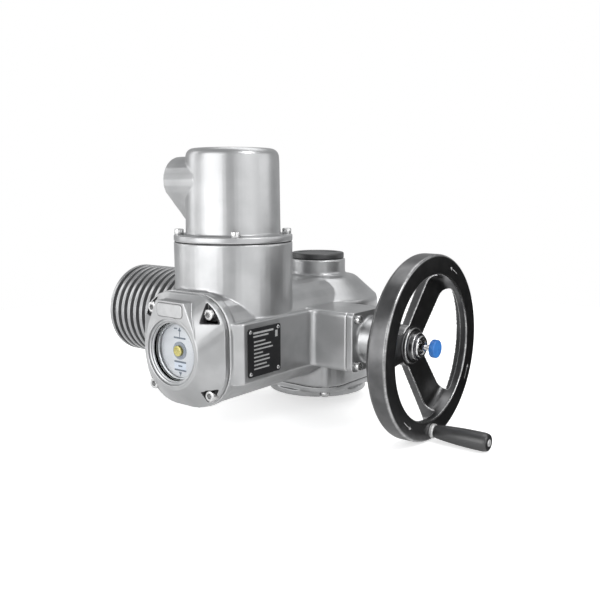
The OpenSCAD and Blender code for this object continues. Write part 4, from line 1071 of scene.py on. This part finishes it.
studio = {
    "floorZ": -0.0142,
    "floorR": 0.95,
    "floorGlow": 0.58,       # the floor's own light for the camera: white outside the shadow
    "floorSheen": 0.20,      # the same for reflections
    "ambient": 0.52,
    "ambientColour": (0.98, 0.99, 1.0),
    "lamps": [
        # name, place, aim, width, height, power
        ("keyPanel", (-0.16, -1.75, 0.50), (0.0, -0.1, 0.30), 1.6, 1.3, 18.0),
        ("leftPanel", (-1.55, -0.75, 0.60), (0.0, -0.1, 0.15), 0.5, 1.4, 4.5),
        ("topPanel", (-0.1, 0.35, 1.5), (0.0, -0.1, 0.1), 1.3, 0.9, 7.5),
        ("lowPanel", (-1.0, -1.25, 0.13), (0.0, -0.1, 0.1), 0.75, 0.6, 1.5),
        ("edgePanel", (0.96, -0.23, 1.02), (0.2, -0.1, 0.1), 0.5, 0.5, 5.0),
        ("rightPanel", (1.35, 0.75, 0.35), (0.1, -0.1, 0.2), 1.0, 1.2, 4.5),
        ("frontPanel", (1.55, -0.55, 0.35), (0.1, -0.1, 0.2), 1.6, 1.2, 6.5),
    ],
    # an upright card on a mat that runs towards the handwheel
    "card": {"place": (0.327, 0.088), "turn": 52.0, "width": 0.30, "height": 0.21,
             "depth": 0.16, "offFloor": 0.001},
}


def buildFloor():
    work = bmesh.new()
    bmesh.ops.create_circle(work, cap_ends=True, segments=96, radius=studio["floorR"])
    bmesh.ops.translate(work, verts=work.verts, vec=(0, 0, studio["floorZ"]))
    mesh = bpy.data.meshes.new("studioFloor")
    work.to_mesh(mesh)
    work.free()
    floor = addToScene(bpy.data.objects.new("studioFloor", mesh))
    material, tree, shader = newMaterial("paperFloor")
    path = addNode(tree, "ShaderNodeLightPath")
    glow = calc(tree, "MULTIPLY", path.outputs["Is Camera Ray"], studio["floorGlow"])
    sheen = calc(tree, "MULTIPLY", path.outputs["Is Glossy Ray"], studio["floorSheen"])
    fibres = noise(tree, objectPoint(tree), 400.0, detail=4.0)
    feedAll(tree, shader, {
        "Base Color": grey(0.80),
        "Roughness": mapRange(tree, fibres, 0.3, 0.7, 0.75, 0.9),
        "Specular IOR Level": 0.0,
        "Emission Color": grey(1.0),
        "Emission Strength": calc(tree, "MAXIMUM", glow, sheen),
    })
    mesh.materials.append(material)


def buildWorld():
    world = bpy.data.worlds.new("studioWorld")
    bpy.context.scene.world = world
    world.use_nodes = True
    tree = world.node_tree
    tree.nodes.clear()
    path = addNode(tree, "ShaderNodeLightPath")
    seen = calc(tree, "MAXIMUM", path.outputs["Is Camera Ray"],
                path.outputs["Is Transmission Ray"])
    light = addNode(tree, "ShaderNodeBackground")
    feedAll(tree, light, {"Color": studio["ambientColour"], "Strength": studio["ambient"]})
    shown = addNode(tree, "ShaderNodeBackground")
    feedAll(tree, shown, {"Color": grey(1.0), "Strength": 1.0})
    choice = addNode(tree, "ShaderNodeMixShader")
    for i, source in enumerate((seen, light.outputs[0], shown.outputs[0])):
        tree.links.new(source, choice.inputs[i])
    out = addNode(tree, "ShaderNodeOutputWorld")
    tree.links.new(choice.outputs[0], out.inputs["Surface"])


def buildLamps():
    for name, place, aim, width, height, power in studio["lamps"]:
        data = bpy.data.lights.new(name, "AREA")
        data.shape = "RECTANGLE"
        data.size = width
        data.size_y = height
        data.energy = power
        lamp = addToScene(bpy.data.objects.new(name, data))
        lamp.location = place
        towards = Vector(aim) - Vector(place)
        lamp.rotation_euler = towards.to_track_quat("-Z", "Y").to_euler()
        lamp.visible_camera = False


# a dark card behind the handwheel, seen only in reflections, keeps its black coat black
def buildCard():
    card = studio["card"]
    turn = math.radians(card["turn"])
    side = Vector((-math.sin(turn), math.cos(turn), 0)) * card["width"] / 2
    foot = Vector((*card["place"], studio["floorZ"] + card["offFloor"]))
    near = foot - Vector((math.cos(turn), math.sin(turn), 0)) * card["depth"]
    top = foot + Vector((0, 0, card["height"]))
    corners = [edge + shift for edge in (near, foot, top) for shift in (-side, side)]
    mesh = bpy.data.meshes.new("darkCard")
    mesh.from_pydata(corners, [], [(0, 1, 3, 2), (2, 3, 5, 4)])
    material, tree, shader = newMaterial("cardBlack")
    fibres = noise(tree, objectPoint(tree), 300.0)
    feedAll(tree, shader, {"Base Color": grey(0.02),
                           "Roughness": mapRange(tree, fibres, 0.3, 0.7, 0.85, 0.95)})
    mesh.materials.append(material)
    obj = addToScene(bpy.data.objects.new("darkCard", mesh))
    obj.visible_camera = False
    obj.visible_diffuse = False
    obj.visible_shadow = False
    obj.visible_transmission = False


buildFloor()
buildWorld()
buildLamps()
buildCard()
print("studio built")
